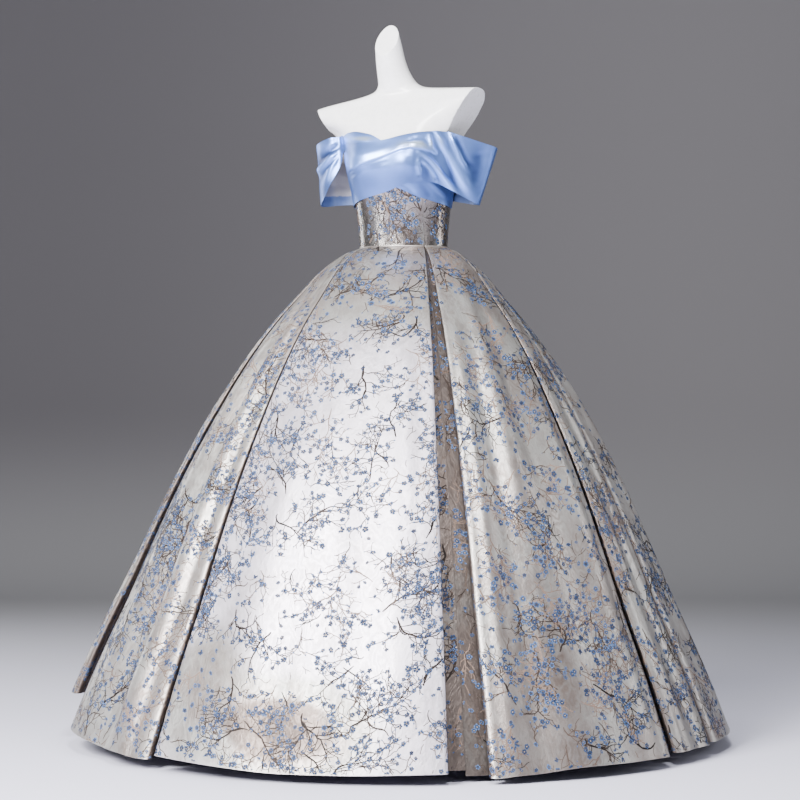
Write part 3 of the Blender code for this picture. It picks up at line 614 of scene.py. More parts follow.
def brocade_look(name, inside=False, metallic=0.55, rough=0.30):
    """Silvery jacquard: broad clouds of lilac, silver and beige, wandering fine lines and a weave. The mesh's
    tone also paints light and shade: silver and beige toward the waist, brown deep in the pleats.
    """
    tree = Tree(name)
    uv = cloth_place(tree)
    tone = written(tree, "tone")
    cloud = noise(tree, uv, 4.5, 3.0, 0.6)
    patch = (cloud + (tone - 0.5) * 0.10).step(0.44, 0.62)
    second = noise(tree, stretched(tree, uv, 9.0, 5.0), 1.0, 4.0, 0.65).step(0.42, 0.68)
    flow = noise(tree, stretched(tree, uv, 14.0, 8.0), 1.0, 3.0, 0.55)
    lines = (flow * 78.0).maths("SINE") * 0.5 + 0.5
    blot = noise(tree, stretched(tree, uv, 34.0, 22.0), 1.0, 3.0, 0.7).step(0.44, 0.60)
    speck = noise(tree, stretched(tree, uv, 420.0, 760.0), 1.0, 1.0)
    lilac, silver = (0.76, 0.715, 0.80, 1.0), (0.42, 0.415, 0.40, 1.0)
    beige, tan = (0.30, 0.255, 0.24, 1.0), (0.150, 0.105, 0.083, 1.0)
    brown, umber = (0.100, 0.079, 0.071, 1.0), (0.045, 0.036, 0.033, 1.0)
    # Lilac-white for a low tone, silver for a higher one: partly the cloth's colour, partly painted light for
    # how a gore catches the light
    base = tree.mix(lilac, silver, tone.step(0.1, 0.5))
    base = tree.mix(base, beige, patch * (tone * 0.75 + 0.06))
    base = tree.mix(base, beige, blot * (tone * 0.50 + 0.06))
    base = tree.mix(base, tan, second * lines * (tone * 0.60 + 0.10))
    base = tree.mix(base, tan, speck.step(0.50, 0.68) * (tone * 0.18 + 0.05))
    # Painted shade: brown deep in the pleats; the same brown also darkens the front's jacquard patch
    base = tree.mix(base, brown, tone.step(0.95, 1.3) * 0.80)
    base = tree.mix(base, umber, tone.step(1.4, 2.3) * (cloud * 0.5 + 0.35))
    if inside:
        base = tree.mix(base, (0.20, 0.19, 0.24, 1.0), 0.6)
    rough = speck * 0.16 + lines * 0.08 - blot * 0.05 + rough
    tree.set(Base_Color=base, Metallic=tone * 0.30 + metallic - 0.10, Roughness=rough)
    roughen(tree, lines * 0.4 + speck * 0.7 + blot * 0.6, 0.35, 0.0008)
    return tree.material


def satin_look(name, colour, deep, inside=False):
    """Pale satin whose mesh tone carries painted light: toward the deep colour for painted shade, whiter for
    painted highlights; its reverse is greige with a blue strip at the edge.
    """
    tree = Tree(name)
    uv = cloth_place(tree)
    soft = noise(tree, uv, 16.0, 2.0)
    thread = noise(tree, stretched(tree, uv, 90.0, 1400.0), 1.0, 1.0)
    tone = written(tree, "tone")
    # Painted shade toward the deep colour, painted light toward the pale one, as the tone says
    base = tree.mix(deep, colour, tone + soft * 0.16 + thread * 0.06 - 0.11)
    # Painted highlight: whiter where the tone passes 0.95
    base = tree.mix(base, (0.72, 0.86, 1.0, 1.0), tone.step(0.95, 1.6))
    if inside:
        down = tree.value(tree.node("ShaderNodeSeparateXYZ", {0: uv}).outputs[1])
        ragged = noise(tree, uv, 60.0, 2.0) * 0.012 + down
        base = tree.mix((0.40, 0.385, 0.40, 1.0), (0.09, 0.14, 0.30, 1.0), ragged.step(-0.022, -0.018))
    rough, metallic = (0.50, 0.0) if inside else (0.31, 0.75)
    tree.set(Base_Color=base, Roughness=thread * 0.06 + rough, Metallic=metallic)
    tree.shader.inputs["Anisotropic"].default_value = 0.3
    roughen(tree, noise(tree, uv, 30.0, 3.0) * 0.8 + thread * 0.2, 0.06, 0.002)
    return tree.material


def plain_look(name, colour, rough, metallic=0.0, coat=0.0):
    tree = Tree(name)
    spot = tree.value(tree.node("ShaderNodeTexCoord").outputs["Object"])
    grain = noise(tree, spot, 60.0, 2.0)
    base = tree.mix((*colour, 1.0), tuple(0.94 * c for c in colour) + (1.0,), grain.step(0.4, 0.7))
    tree.set(Base_Color=base, Roughness=grain * 0.05 + rough - 0.025, Metallic=metallic, Coat_Weight=coat)
    return tree.material


def motif_look():
    """Petals, centres and twigs in one material: the kind and the shade come with each point."""
    tree = Tree("blossom_threads")
    kind, shade = written(tree, "kind"), written(tree, "shade")
    twig = tree.mix((0.006, 0.004, 0.004, 1.0), (0.25, 0.175, 0.14, 1.0), shade)
    petal = tree.mix((0.012, 0.024, 0.060, 1.0), (0.110, 0.186, 0.370, 1.0), shade.step(0.05, 0.9))
    heart = tree.mix((0.02, 0.018, 0.03, 1.0), (0.42, 0.33, 0.27, 1.0), shade)
    colour = tree.mix(tree.mix(twig, petal, kind.step(0.2, 0.4)), heart, kind.step(0.7, 0.9))
    tree.set(Base_Color=colour, Roughness=0.62 + shade * 0.08, Metallic=0.0)
    tree.shader.inputs["Specular IOR Level"].default_value = 0.18
    return tree.material


# Branch pattern, grown on flat cloth in metres

class Pattern:
    def __init__(self, seed, tan=0.28):
        self.rng = random.Random(seed)
        self.tan = tan
        self.points, self.faces, self.kind, self.shade, self.lift = [], [], [], [], []
        self.flowers = {}

    def add(self, points, faces, kind, shades, lift):
        start = len(self.points)
        self.points += points
        self.faces += [tuple(start + i for i in f) for f in faces]
        self.kind += [kind] * len(points)
        self.shade += shades
        self.lift += [lift] * len(points)

    def twig(self, x, y, heading, length, wide, shade, order):
        """A kinked line that thins toward its tip and gives off side twigs and blossoms."""
        rng = self.rng
        piece = TWIG_STEP[order]
        count = max(int(length / piece), 2)
        line, h, drift, away = [(x, y)], heading, rng.uniform(-0.09, 0.09), rng.choice((-1, 1))
        for i in range(count):
            h += drift + rng.gauss(0, TWIG_BEND[order])
            if rng.random() < 0.10:
                h += rng.choice((-1, 1)) * rng.uniform(0.3, 0.8)
                drift = rng.uniform(-0.09, 0.09)
            x += piece * math.cos(h)
            y += piece * math.sin(h)
            line.append((x, y))
            if order < 3 and i > 0 and rng.random() < TWIG_FORK[order]:
                away = -away if rng.random() < 0.75 else away
                reach = length * rng.uniform(*TWIG_REACH[order]) * (1 - 0.4 * i / count)
                if reach > 0.008:
                    aside = h + away * rng.uniform(0.40, 1.05)
                    paler = min(shade + max(rng.gauss(0.0, 0.08), 0.0), 1.0)
                    narrow = max(wide * 0.62, TWIG_LEAST[order])
                    self.twig(x, y, aside, min(reach, 0.095), narrow, paler, order + 1)
            if order > 0 and rng.random() < 0.036:
                self.blossom(x + rng.uniform(-0.004, 0.004), y + rng.uniform(-0.004, 0.004))
        if rng.random() < 0.20:
            self.blossom(x, y)
        elif rng.random() < 0.30:
            self.bud(x, y, h)
        pts, shades = [], []
        for i, (px, py) in enumerate(line):
            ax, ay = line[max(i - 1, 0)]
            bx, by = line[min(i + 1, len(line) - 1)]
            size = math.hypot(bx - ax, by - ay) or 1.0
            taper = (1 - 0.70 * i / count) * min(0.45 + 0.2 * i, 1.0)
            w = max(wide * taper * (0.8 + 0.4 * rng.random()), 0.0014) / 2
            ox, oy = -(by - ay) / size * w, (bx - ax) / size * w
            pts += [(px + ox, py + oy), (px - ox, py - oy)]
            shades += [shade, shade]
        quads = [(2 * i, 2 * i + 1, 2 * i + 3, 2 * i + 2) for i in range(len(line) - 1)]
        self.add(pts, quads, 0.0, shades, TWIG_LIFT)

    def bud(self, x, y, heading):
        r = self.rng.uniform(0.0013, 0.0026)
        pts = [
            (x + r * k * math.cos(heading + a), y + r * k * math.sin(heading + a))
            for a, k in ((0.0, 1.7), (1.2, 0.9), (math.pi, 0.9), (-1.2, 0.9))
        ]
        self.add(pts, [(0, 1, 2, 3)], 0.5, [0.8, 0.5, 0.2, 0.5], PETAL_LIFT)

    def blossom(self, x, y):
        rng = self.rng
        r = rng.uniform(0.0045, 0.0080)
        cell = (int(x / FLOWER_CELL), int(y / FLOWER_CELL))
        close = sum(
            1 for i in (-1, 0, 1) for j in (-1, 0, 1)
            for qx, qy in self.flowers.get((cell[0] + i, cell[1] + j), ())
            if (qx - x) ** 2 + (qy - y) ** 2 < (0.011 if rng.random() < 0.6 else 0.006) ** 2
        )
        if close:
            return
        self.flowers.setdefault(cell, []).append((x, y))
        turn, squash, lean = rng.uniform(0, 6.28), rng.uniform(0.62, 1.0), rng.uniform(0, 6.28)
        pale = rng.uniform(0.35, 1.0)
        cl, sl = math.cos(lean), math.sin(lean)

        def place(radius, angle):
            u, v = radius * math.cos(angle), radius * math.sin(angle) * squash
            return (x + u * cl - v * sl, y + u * sl + v * cl)

        for k in range(5):
            if rng.random() < 0.05:
                continue
            a = turn + k * 2 * math.pi / 5
            size = r * rng.uniform(0.88, 1.1)
            pts = [place(size * f, a + o) for f, o in PETAL]
            shades = [pale * k for k in (0.0, 0.45, 0.8, 1.0, 1.0, 0.6, 0.2)]
            self.add(pts, [tuple(range(len(PETAL)))], 0.5, shades, PETAL_LIFT)
        ring = [place(r * 0.26, turn + i * math.pi / 3) for i in range(6)]
        self.add(ring, [tuple(range(6))], 1.0, [rng.uniform(0.0, 0.9)] * 6, HEART_LIFT)

    def fill(self, x0, x1, y0, y1, cell):
        """Main branches from a shaken grid of starts, and loose blossoms between them."""
        rng = self.rng
        rows, cols = max(int((y1 - y0) / cell), 1), max(int((x1 - x0) / cell), 1)
        for j in range(rows + 1):
            for i in range(cols + 1):
                x = x0 + (i + rng.uniform(-0.1, 1.1)) * cell
                y = y0 + (j + rng.uniform(-0.1, 1.1)) * cell
                heading = (1 if rng.random() < 0.7 else -1) * (math.pi / 2 + rng.gauss(0, 0.55))
                kind = rng.random()
                if kind < 0.28 * (1.28 - self.tan):
                    self.twig(x, y, heading, rng.uniform(0.10, 0.17), rng.uniform(0.0042, 0.0058),
                              rng.uniform(0.0, 0.10), 0)
                elif kind < 1.0 - self.tan:
                    self.twig(x, y, heading, rng.uniform(0.04, 0.10), 0.0033, rng.uniform(0.0, 0.35), 1)
                else:
                    self.twig(x, y, heading, rng.uniform(0.08, 0.14), 0.0028, rng.uniform(0.45, 0.90), 0)
        for _ in range(int((x1 - x0) * (y1 - y0) * LOOSE_TWIGS)):
            x, y = rng.uniform(x0, x1), rng.uniform(y0, y1)
            if rng.random() < 0.5:
                heading, length = rng.uniform(0, 6.28), rng.uniform(0.014, 0.040)
                self.twig(x, y, heading, length, 0.0020, rng.uniform(0.0, 0.5), 2)
            else:
                self.blossom(x, y)


def lay_on(name, pattern, p, n, across, down, look):
    """Carries a flat pattern onto a cloth grid, leaving out what falls off its edges."""
    flat = np.array(pattern.points)
    lift = np.array(pattern.lift)
    rows, cols = p.shape[:2]
    depth = down[:, 0]
    r = np.interp(flat[:, 1], depth, np.arange(rows))
    ok = (flat[:, 1] > depth[0] + 0.001) & (flat[:, 1] < depth[-1] - 0.001)
    r0 = np.clip(r.astype(int), 0, rows - 2)
    share = r - r0
    place = np.zeros((len(flat), 3))
    for k in np.unique(r0):
        here = np.nonzero(r0 == k)[0]
        ends = []
        for row in (k, k + 1):
            c = np.interp(flat[here, 0], across[row], np.arange(cols))
            c0 = np.clip(c.astype(int), 0, cols - 2)
            f = (c - c0)[:, None]
            q = p[row, c0] * (1 - f) + p[row, c0 + 1] * f
            m = n[row, c0] * (1 - f) + n[row, c0 + 1] * f
            ends.append(q + unit(m) * lift[here, None])
        t = share[here, None]
        place[here] = ends[0] * (1 - t) + ends[1] * t
        low = across[k, 0] * (1 - share[here]) + across[k + 1, 0] * share[here]
        high = across[k, -1] * (1 - share[here]) + across[k + 1, -1] * share[here]
        ok[here] &= (flat[here, 0] > low + 0.001) & (flat[here, 0] < high - 0.001)
    faces = [f for f in pattern.faces if all(ok[i] for i in f)]
    used = np.unique(np.concatenate([np.array(f) for f in faces]))
    fresh = np.full(len(flat), -1)
    fresh[used] = np.arange(len(used))
    faces = [tuple(fresh[list(f)]) for f in faces]
    obj = new_mesh(name, place[used], faces, [look])
    mesh = obj.data
    for key, values in (("kind", pattern.kind), ("shade", pattern.shade)):
        mesh.attributes.new(key, "FLOAT", "POINT").data.foreach_set("value", np.array(values)[used])
    near, near_n = p.reshape(-1, 3), n.reshape(-1, 3)
    score = 0.0
    for poly in list(mesh.polygons[:400])[::20]:
        score += float(near_n[np.argmin(((near - poly.center[:]) ** 2).sum(1))] @ poly.normal[:])
    if score < 0:
        mesh.flip_normals()
    return obj


def brocade_piece(name, p, across, deep, shift, tone_and_painted_shade, looks, pattern, cell):
    """A brocade cloth with its branches. The shift gives each piece clouds of its own."""
    uv = np.stack([across + shift, -deep], -1)
    obj, n = shell(name + "_cloth", p, BROCADE, looks, uv, tone_and_painted_shade, outward(grid_normals(p), p))
    pattern.fill(across.min(), across.max(), 0.0, deep.max(), cell)
    motifs = lay_on(name + "_blossom", pattern, p + n * BROCADE / 2, n, across, deep, LOOKS["motif"])
    declare(obj, "brocade", name)
    declare(motifs, "brocade")
    return obj, motifs


# Skirt

def oval(angle):
    a = np.radians(angle)
    return np.stack([WAIST_A * np.sin(a), -WAIST_B * np.cos(a)], -1)


def waist_at(angle, short, depth):
    step = np.linalg.norm(oval(angle + 0.5) - oval(angle - 0.5))
    there = angle + short / step
    along = unit(oval(there + 0.5) - oval(there - 0.5))
    inward = np.stack([-along[..., 1], along[..., 0]], -1)
    return oval(there) + inward * np.asarray(depth)[..., None], there


def hem_at(angle, short, depth):
    there = angle + np.degrees(short / HEM_R)
    radius = HEM_R + spline(FLARE, np.mod(there, 360.0))[..., 0] - depth
    a = np.radians(there)
    return np.stack([radius * np.sin(a), -radius * np.cos(a)], -1), there


def half_pleat(opening, underlap, layer, edge):
    """From the pleat's middle out to the face: two layers behind, their fold and the edge."""
    half = layer / 2
    inner = opening + underlap - half
    back = np.linspace(GAP, inner, 6)
    turn = np.linspace(0, math.pi, 8)[1:-1]
    under = np.linspace(inner, opening + edge, 6)
    roll = np.linspace(0, math.pi, 11)[1:]
    short = np.concatenate([back, inner + half * np.sin(turn), under, opening + edge - edge * np.sin(roll)])
    depth = np.concatenate([
        np.full(6, 2 * layer), 1.5 * layer + half * np.cos(turn), np.full(6, layer),
        half + half * np.cos(roll),
    ])
    return short, depth


def pleat_curve(pleat, way):
    waist_angle, hem_angle, opening, layer, lap_waist, lap_hem, edge_before, edge_after = pleat
    edge = edge_after if way > 0 else edge_before
    short_w, deep_w = half_pleat(WAIST_OPENING, lap_waist, PLEAT_PITCH, WAIST_EDGE)
    short_h, deep_h = half_pleat(opening, lap_hem, layer, edge)
    w, wa = waist_at(waist_angle, way * short_w, deep_w)
    h, ha = hem_at(hem_angle, way * short_h, deep_h)
    return w, h, wa[-1], ha[-1]


def build_gore(row):
    name, at, rise_first, rise_mid, rise_last, faces, tone = row
    first, last = PLEATS[at], list(PLEATS[(at + 1) % len(PLEATS)])
    if last[0] < first[0]:
        last[0] += 360
        last[1] += 360
    w0, h0, a0, b0 = pleat_curve(first, 1)
    w1, h1, a1, b1 = pleat_curve(last, -1)
    t = np.linspace(0, 1, faces + 1)[1:-1]
    wf = oval(a0 + (a1 - a0) * t)
    hf, _ = hem_at(b0 + (b1 - b0) * t, np.zeros_like(t), np.zeros_like(t))
    waist = np.concatenate([w0, wf, w1[::-1]])
    hem = np.concatenate([h0, hf, h1[::-1]])
    share = np.concatenate([np.zeros(len(w0)), t, np.ones(len(w1))])
    below = WAIST_HOLD + (1 - WAIST_HOLD) * np.linspace(0, 1, SKIRT_DOWN)[1:] ** 1.35
    down = np.concatenate([[0.0, WAIST_HOLD], below])
    out = spline(PROFILE, down)[:, 0]
    rise = spline(np.array(((0.0, rise_first), (0.5, rise_mid), (1.0, rise_last))), share)[:, 0]
    flat = waist[None] * (1 - out[:, None, None]) + hem[None] * out[:, None, None]
    z = (WAIST_Z - GAP) * (1 - down[:, None]) + (HEM_Z + rise[None]) * down[:, None]
    p = np.concatenate([flat, z[..., None]], -1)
    edge = smooth(0.0, 0.07, share) * (1 - smooth(0.93, 1.0, share))
    push = np.zeros(p.shape[:2])
    face_from, face_to = np.argmax(share > 0), np.argmax(share >= 1)
    wide = np.linalg.norm(p[:, face_from] - p[:, face_to], axis=1)
    for top, foot, begin, end, width0, width1, high in CREASES[name]:
        v = (down - begin) / (end - begin)
        centre = top + (foot - top) * np.clip(v, 0, 1)
        sigma = (width0 + (width1 - width0) * np.clip(v, 0, 1)) / np.maximum(wide, 0.02)
        long = smooth(0.0, 0.22, v) * (1 - smooth(0.80, 1.0, v)) * smooth(0.02, 0.3, down)
        push += high * long[:, None] * np.exp(-(((share[None] - centre[:, None]) / sigma[:, None]) ** 2) / 2)
    x, y = np.meshgrid(share, down)
    k = float(at)
    push += 0.0022 * smooth(0.1, 0.7, y) * np.sin(7.1 * x + 3.0 * y + k) * np.sin(4.3 * y - 2.0 * x + 2 * k)
    push += 0.0010 * smooth(0.05, 0.5, y) * np.sin(17.0 * x - 9.0 * y + 3 * k) * np.sin(11.0 * y + 5.0 * x)
    p = pushed(p, push * edge[None])
    across, deep = arc_map(p, len(share) // 2)
    # Painted shade: the cloth of a cool gore turns silver and beige toward the waist
    tone_and_painted_shade = tone + WAIST_PAINTED_SHADE * (1 - 1.15 * tone) * (1 - smooth(0.0, 0.26, y))
    for mid_x, mid_y, wide_x, wide_y, more in PATCHES.get(name, ()):
        tone_and_painted_shade = tone_and_painted_shade + more * np.exp(-(((x - mid_x) / wide_x) ** 2) - ((y - mid_y) / wide_y) ** 2)
    behind = (share <= 0) | (share >= 1)
    behind[face_from - 4:face_from] = behind[face_to:face_to + 4] = False
    # Painted shade: the layers hidden in the pleats are painted brown
    tone_and_painted_shade = np.where(behind[None], DEEP_PAINTED_SHADE, tone_and_painted_shade)
    looks = [LOOKS["brocade"], LOOKS["brocade_inside"]]
    pattern = Pattern(100 + at, 0.12 + 0.5 * tone)
    obj, motifs = brocade_piece(name, p, across, deep, 0.9 * at, tone_and_painted_shade, looks, pattern, GORE_CELL)
    wide, tall, area = flat_size(across, deep)


# Bodice

def build_bodice():
    for index, (name, low_a, low_b, top_a, top_b) in enumerate(BODICE):
        rows, cols = 44, 48 if name == "bodice_front" else 28
        level = np.concatenate([[0.0], STRAIGHT + (BODICE_TALL - STRAIGHT) * np.linspace(0, 1, rows - 1)])
        share = level / level[-1]
        first, last = low_a + (top_a - low_a) * share, low_b + (top_b - low_b) * share
        grid = []
        for i in range(rows):
            z0 = WAIST_Z + level[i]
            room = [GAP + (ZIP_WIDTH / 2 if abs(side) > 179 else 0) for side in (first[i], last[i])]
            begin = first[i] + degrees_for(first[i], z0, room[0])
            finish = last[i] - degrees_for(last[i], z0, room[1])
            angle = np.linspace(begin, finish, cols)
            top = spline(BODICE_TOP, np.abs(angle))[:, 0]
            foot = WAIST_Z + STRAIGHT
            z = foot + (top - foot) * max(level[i] - STRAIGHT, 0) / (level[-1] - STRAIGHT)
            q = body_at(angle, z)
            if i == 0:
                q[:, 2] = WAIST_Z
            grid.append(q)
        p = np.array(grid)[::-1]
        across, deep = arc_map(p, cols // 2)
        x, y = np.meshgrid(np.linspace(0, 1, cols), np.linspace(0, 1, rows))
        push = 0.0004 * np.sin(9 * x + 5 * y + index) * np.sin(13 * y - 3 * x)
        push = push * np.sin(math.pi * x) * np.sin(math.pi * y)
        obj, motifs = brocade_piece(name, pushed(p, push), across, deep, 1.3 * index, BODICE_WARMTH,
                                    [LOOKS["bodice"]], Pattern(310 + index, 0.45), BODICE_CELL)


def picture_place(p):
    """Pixels of the 800-pixel picture at which the camera sees each point."""
    turn = math.radians(CAMERA_TURN)
    ahead = np.array((-math.sin(turn), math.cos(turn), 0.0))
    right = np.array((math.cos(turn), math.sin(turn), 0.0))
    away = p - np.array(around(CAMERA_AWAY, CAMERA_TURN, CAMERA_Z))
    far = away @ ahead
    return PICTURE / 2 + SHIFT + FOCAL * (away @ right) / far, PICTURE / 2 - FOCAL * away[..., 2] / far


def along_line(x, y, line):
    """Signed distance to a bent line, above it counted as more, and the share along it."""
    line = np.array(line, float)
    lengths = np.concatenate([[0.0], np.cumsum(np.linalg.norm(np.diff(line, axis=0), axis=1))])
    best = np.full(x.shape, 1e9)
    signed, share = np.zeros_like(x), np.zeros_like(x)
    for i in range(len(line) - 1):
        (ax, ay), (bx, by) = line[i], line[i + 1]
        dx, dy = bx - ax, by - ay
        size = math.hypot(dx, dy)
        t = np.clip(((x - ax) * dx + (y - ay) * dy) / size**2, 0, 1)
        ox, oy = x - ax - t * dx, y - ay - t * dy
        d = np.hypot(ox, oy)
        nearer = d < best
        best = np.where(nearer, d, best)
        side = np.sign((ox * dy - oy * dx) * (1 if dx >= 0 else -1))
        signed = np.where(nearer, d * side, signed)
        share = np.where(nearer, (lengths[i] + t * size) / lengths[-1], share)
    return signed, share


def seen_push(p, folds, steps=()):
    x, y = picture_place(p)
    push = np.zeros_like(x)
    for line, w0, w1, high in folds:
        d, t = along_line(x, y, line)
        ends = (0.35 + 0.65 * smooth(0.0, 0.2, t)) * (0.25 + 0.75 * (1 - smooth(0.75, 1.0, t)))
        push += high * ends * np.exp(-((d / (w0 + (w1 - w0) * t)) ** 2) / 2)
    for line, width, high in steps:
        d, t = along_line(x, y, line)
        ends = smooth(0.0, 0.12, t) * (1 - smooth(0.9, 1.0, t))
        push += high * ends * (0.5 + 0.5 * np.tanh(d / width)) * np.exp(-((np.maximum(d, 0) / 12.0) ** 2))
    return push


def fold_push(folds, x, y):
    """Sum of soft folds that run from one place to another on the unit square."""
    push = np.zeros_like(x)
    for x0, y0, x1, y1, w0, w1, high in folds:
        t = (x - x0) / (x1 - x0)
        inside = smooth(-0.15, 0.15, t) * (1 - smooth(0.80, 1.15, t))
        centre = y0 + (y1 - y0) * np.clip(t, -0.2, 1.2)
        width = w0 + (w1 - w0) * np.clip(t, 0, 1)
        push += high * inside * np.exp(-(((y - centre) / width) ** 2) / 2)
    return push


def satin_piece(name, p, looks, push, *nodes):
    """A satin cloth whose tone holds painted highlights and painted shade; nodes are the solids that it
    stands for, if not the one of its name.
    """
    seen_x, seen_y = picture_place(p)
    # Painted highlight on fold ridges and painted shade in fold troughs, then the painted light and shade of
    # SATIN_LIGHT
    tone = 0.5 + np.clip(push, -FOLD_MOST, FOLD_MOST) * FOLD_PAINTED_LIGHT
    for x, y, wide_x, wide_y, more in SATIN_LIGHT:
        tone = tone + more * np.exp(-(((seen_x - x) / wide_x) ** 2) - ((seen_y - y) / wide_y) ** 2)
    across, deep = arc_map(p, p.shape[1] // 2)
    uv = np.stack([across, -deep], -1)
    sign = outward(grid_normals(p), p)
    obj, _ = shell(name + "_cloth", p, SATIN, looks, uv, np.clip(tone, 0.0, TONE_MOST), sign)
    declare(obj, "blue_satin", *(nodes or [name]))


def band_grid(table, out, ease, cols, rows):
    first, last = table[0, 0], table[-1, 0]
    begin = first + degrees_for(first, table[0, 1], GAP / 2)
    finish = last - degrees_for(last, table[-1, 2], GAP / 2)
    angle = np.linspace(begin, finish, cols)
    edges = spline(table, angle)
    y = np.linspace(0, 1, rows)[:, None]
    z = edges[:, 0][None] * (1 - y) + edges[:, 1][None] * y
    a = np.broadcast_to(angle[None], z.shape)
    return body_at(a, z, out + ease * CUP_EASE * cup_push(a, z))


def build_bands():
    p = band_grid(UNDER_BAND, UNDER_OUT, 1, 150, 40)
    push = seen_push(p, UNDER_FOLDS) * edge_fade(p, 0.04, 0.04)
    satin_piece("drape_under", pushed(p, np.clip(push, -0.0006, 0.0009)), [LOOKS["satin"]], push)
    for name, table in (("drape_back_left", BACK_BAND), ("drape_back_right", BACK_BAND_RIGHT)):
        p = band_grid(table, UNDER_OUT, 0, 90, 36)
        x, y = np.meshgrid(np.linspace(0, 1, 90), np.linspace(0, 1, 36))
        wave = 0.0012 * np.sin(5 * x + 9 * y) * np.sin(math.pi * y) * np.sin(math.pi * x)
        satin_piece(name, pushed(p, np.abs(wave)), [LOOKS["satin"]], wave)


def edge_fade(p, start, end):
    x = np.linspace(0, 1, p.shape[1])
    return np.broadcast_to((smooth(0, start, x) * (1 - smooth(1 - end, 1, x)))[None], p.shape[:2])


def sleeve_edges(row):
    kind, a0, b0, a1, b1, low, high = row
    if kind == "body":
        ends = []
        for angle, z, off in ((a0, low, b0), (a1, high, b1)):
            out = off + 2 * CUP_EASE * cup_push(angle, np.array(z))
            ends.append(body_at(np.array(angle), np.array(z), np.array(out)))
        return ends
    return [np.array((a0, b0, low)), np.array((a1, b1, high))]


def through(points, at):
    """Smooth curve through every row, for places counted in rows."""
    points = np.array(points)
    last = len(points) - 1
    i = np.clip(at.astype(int), 0, last - 1)
    t = (at - i)[:, None]
    p0, p1 = points[np.maximum(i - 1, 0)], points[i]
    p2, p3 = points[i + 1], points[np.minimum(i + 2, last)]
    return 0.5 * (2 * p1 + (p2 - p0) * t + (2 * p0 - 5 * p1 + 4 * p2 - p3) * t**2
                  + (3 * p1 - p0 - 3 * p2 + p3) * t**3)


def sleeve_grid(table, cols, rows):
    edges = [sleeve_edges(row) for row in table]
    at = np.linspace(0, len(table) - 1, cols)
    lower, upper = through([e[0] for e in edges], at), through([e[1] for e in edges], at)
    y = np.linspace(0, 1, rows)
    p = lower[None] * (1 - y[:, None, None]) + upper[None] * y[:, None, None]
    kinds = [row[0] for row in table]
    for j, place in enumerate(at):
        k = min(int(place), len(table) - 2)
        if kinds[k] == "body" and kinds[k + 1] == "body":
            t = place - k
            r0, r1 = np.array(table[k][1:]), np.array(table[k + 1][1:])
            row = r0 * (1 - t) + r1 * t
            angle, off = row[0] + (row[2] - row[0]) * y, row[1] + (row[3] - row[1]) * y
            z = row[4] + (row[5] - row[4]) * y
            p[:, j] = body_at(angle, z, off + 2 * CUP_EASE * cup_push(angle, z))
    return p


def eased(p, start, end, passes):
    """Evens out the columns between two places, most in the middle of them."""
    share = np.zeros(p.shape[1])
    share[start:end] = np.sin(np.pi * np.linspace(0, 1, end - start)) ** 0.5
    for _ in range(passes):
        even = p.copy()
        even[:, 1:-1] = (p[:, :-2] + 2 * p[:, 1:-1] + p[:, 2:]) / 4
        p = p + (even - p) * share[None, :, None]
    return p


def build_sleeves():
    rows, front, round_arm = 72, 120, 130
    p = np.concatenate([band_grid(OVER_BAND, OVER_OUT, 2, front, rows),
                        sleeve_grid(SLEEVE_LEFT, round_arm, rows)[:, 1:]], axis=1)
    p = eased(p, 104, 168, 160)
    x, y = np.meshgrid(np.linspace(0, 1, p.shape[1]), np.linspace(0, 1, rows))
    seen = 1 - smooth(0.70, 0.76, x)
    push = seen_push(p, OVER_FOLDS, OVER_STEPS) * seen + fold_push(OVER_HIDDEN, x, y) * (1 - seen)
    push += 0.0003 * np.sin(23 * x + 5 * y) * np.sin(9 * y + 17 * x)
    loose = smooth(0.52, 0.62, x)
    push = np.maximum(push, -0.0004 - 0.006 * loose) * edge_fade(p, 0.03, 0.05)
    looks = [LOOKS["satin"], LOOKS["lining"]]
    satin_piece("drape_over", pushed(p, push), looks, push, "drape_over", "sleeve_left")
    rows, cols = 60, 170
    p = eased(sleeve_grid(SLEEVE_RIGHT, cols, rows), 2, 60, 90)
    x, y = np.meshgrid(np.linspace(0, 1, cols), np.linspace(0, 1, rows))
    seen = 1 - smooth(0.46, 0.52, x)
    push = seen_push(p, RIGHT_SLEEVE_FOLDS) * seen + fold_push(RIGHT_HIDDEN, x, y) * (1 - seen)
    push = np.maximum(push, -0.0004 - 0.007 * smooth(0.10, 0.22, x)) * edge_fade(p, 0.02, 0.12)
    satin_piece("sleeve_right", pushed(p, push), looks, push)


# Form, stand and zip

def ring(angle, half, front, behind, mid_x=0.0, mid_y=0.0):
    a = np.radians(angle)
    depth = np.where(np.cos(a) > 0, front, behind)
    return np.stack([mid_x + half * np.sin(a), mid_y - depth * np.cos(a), np.zeros_like(a)], -1)


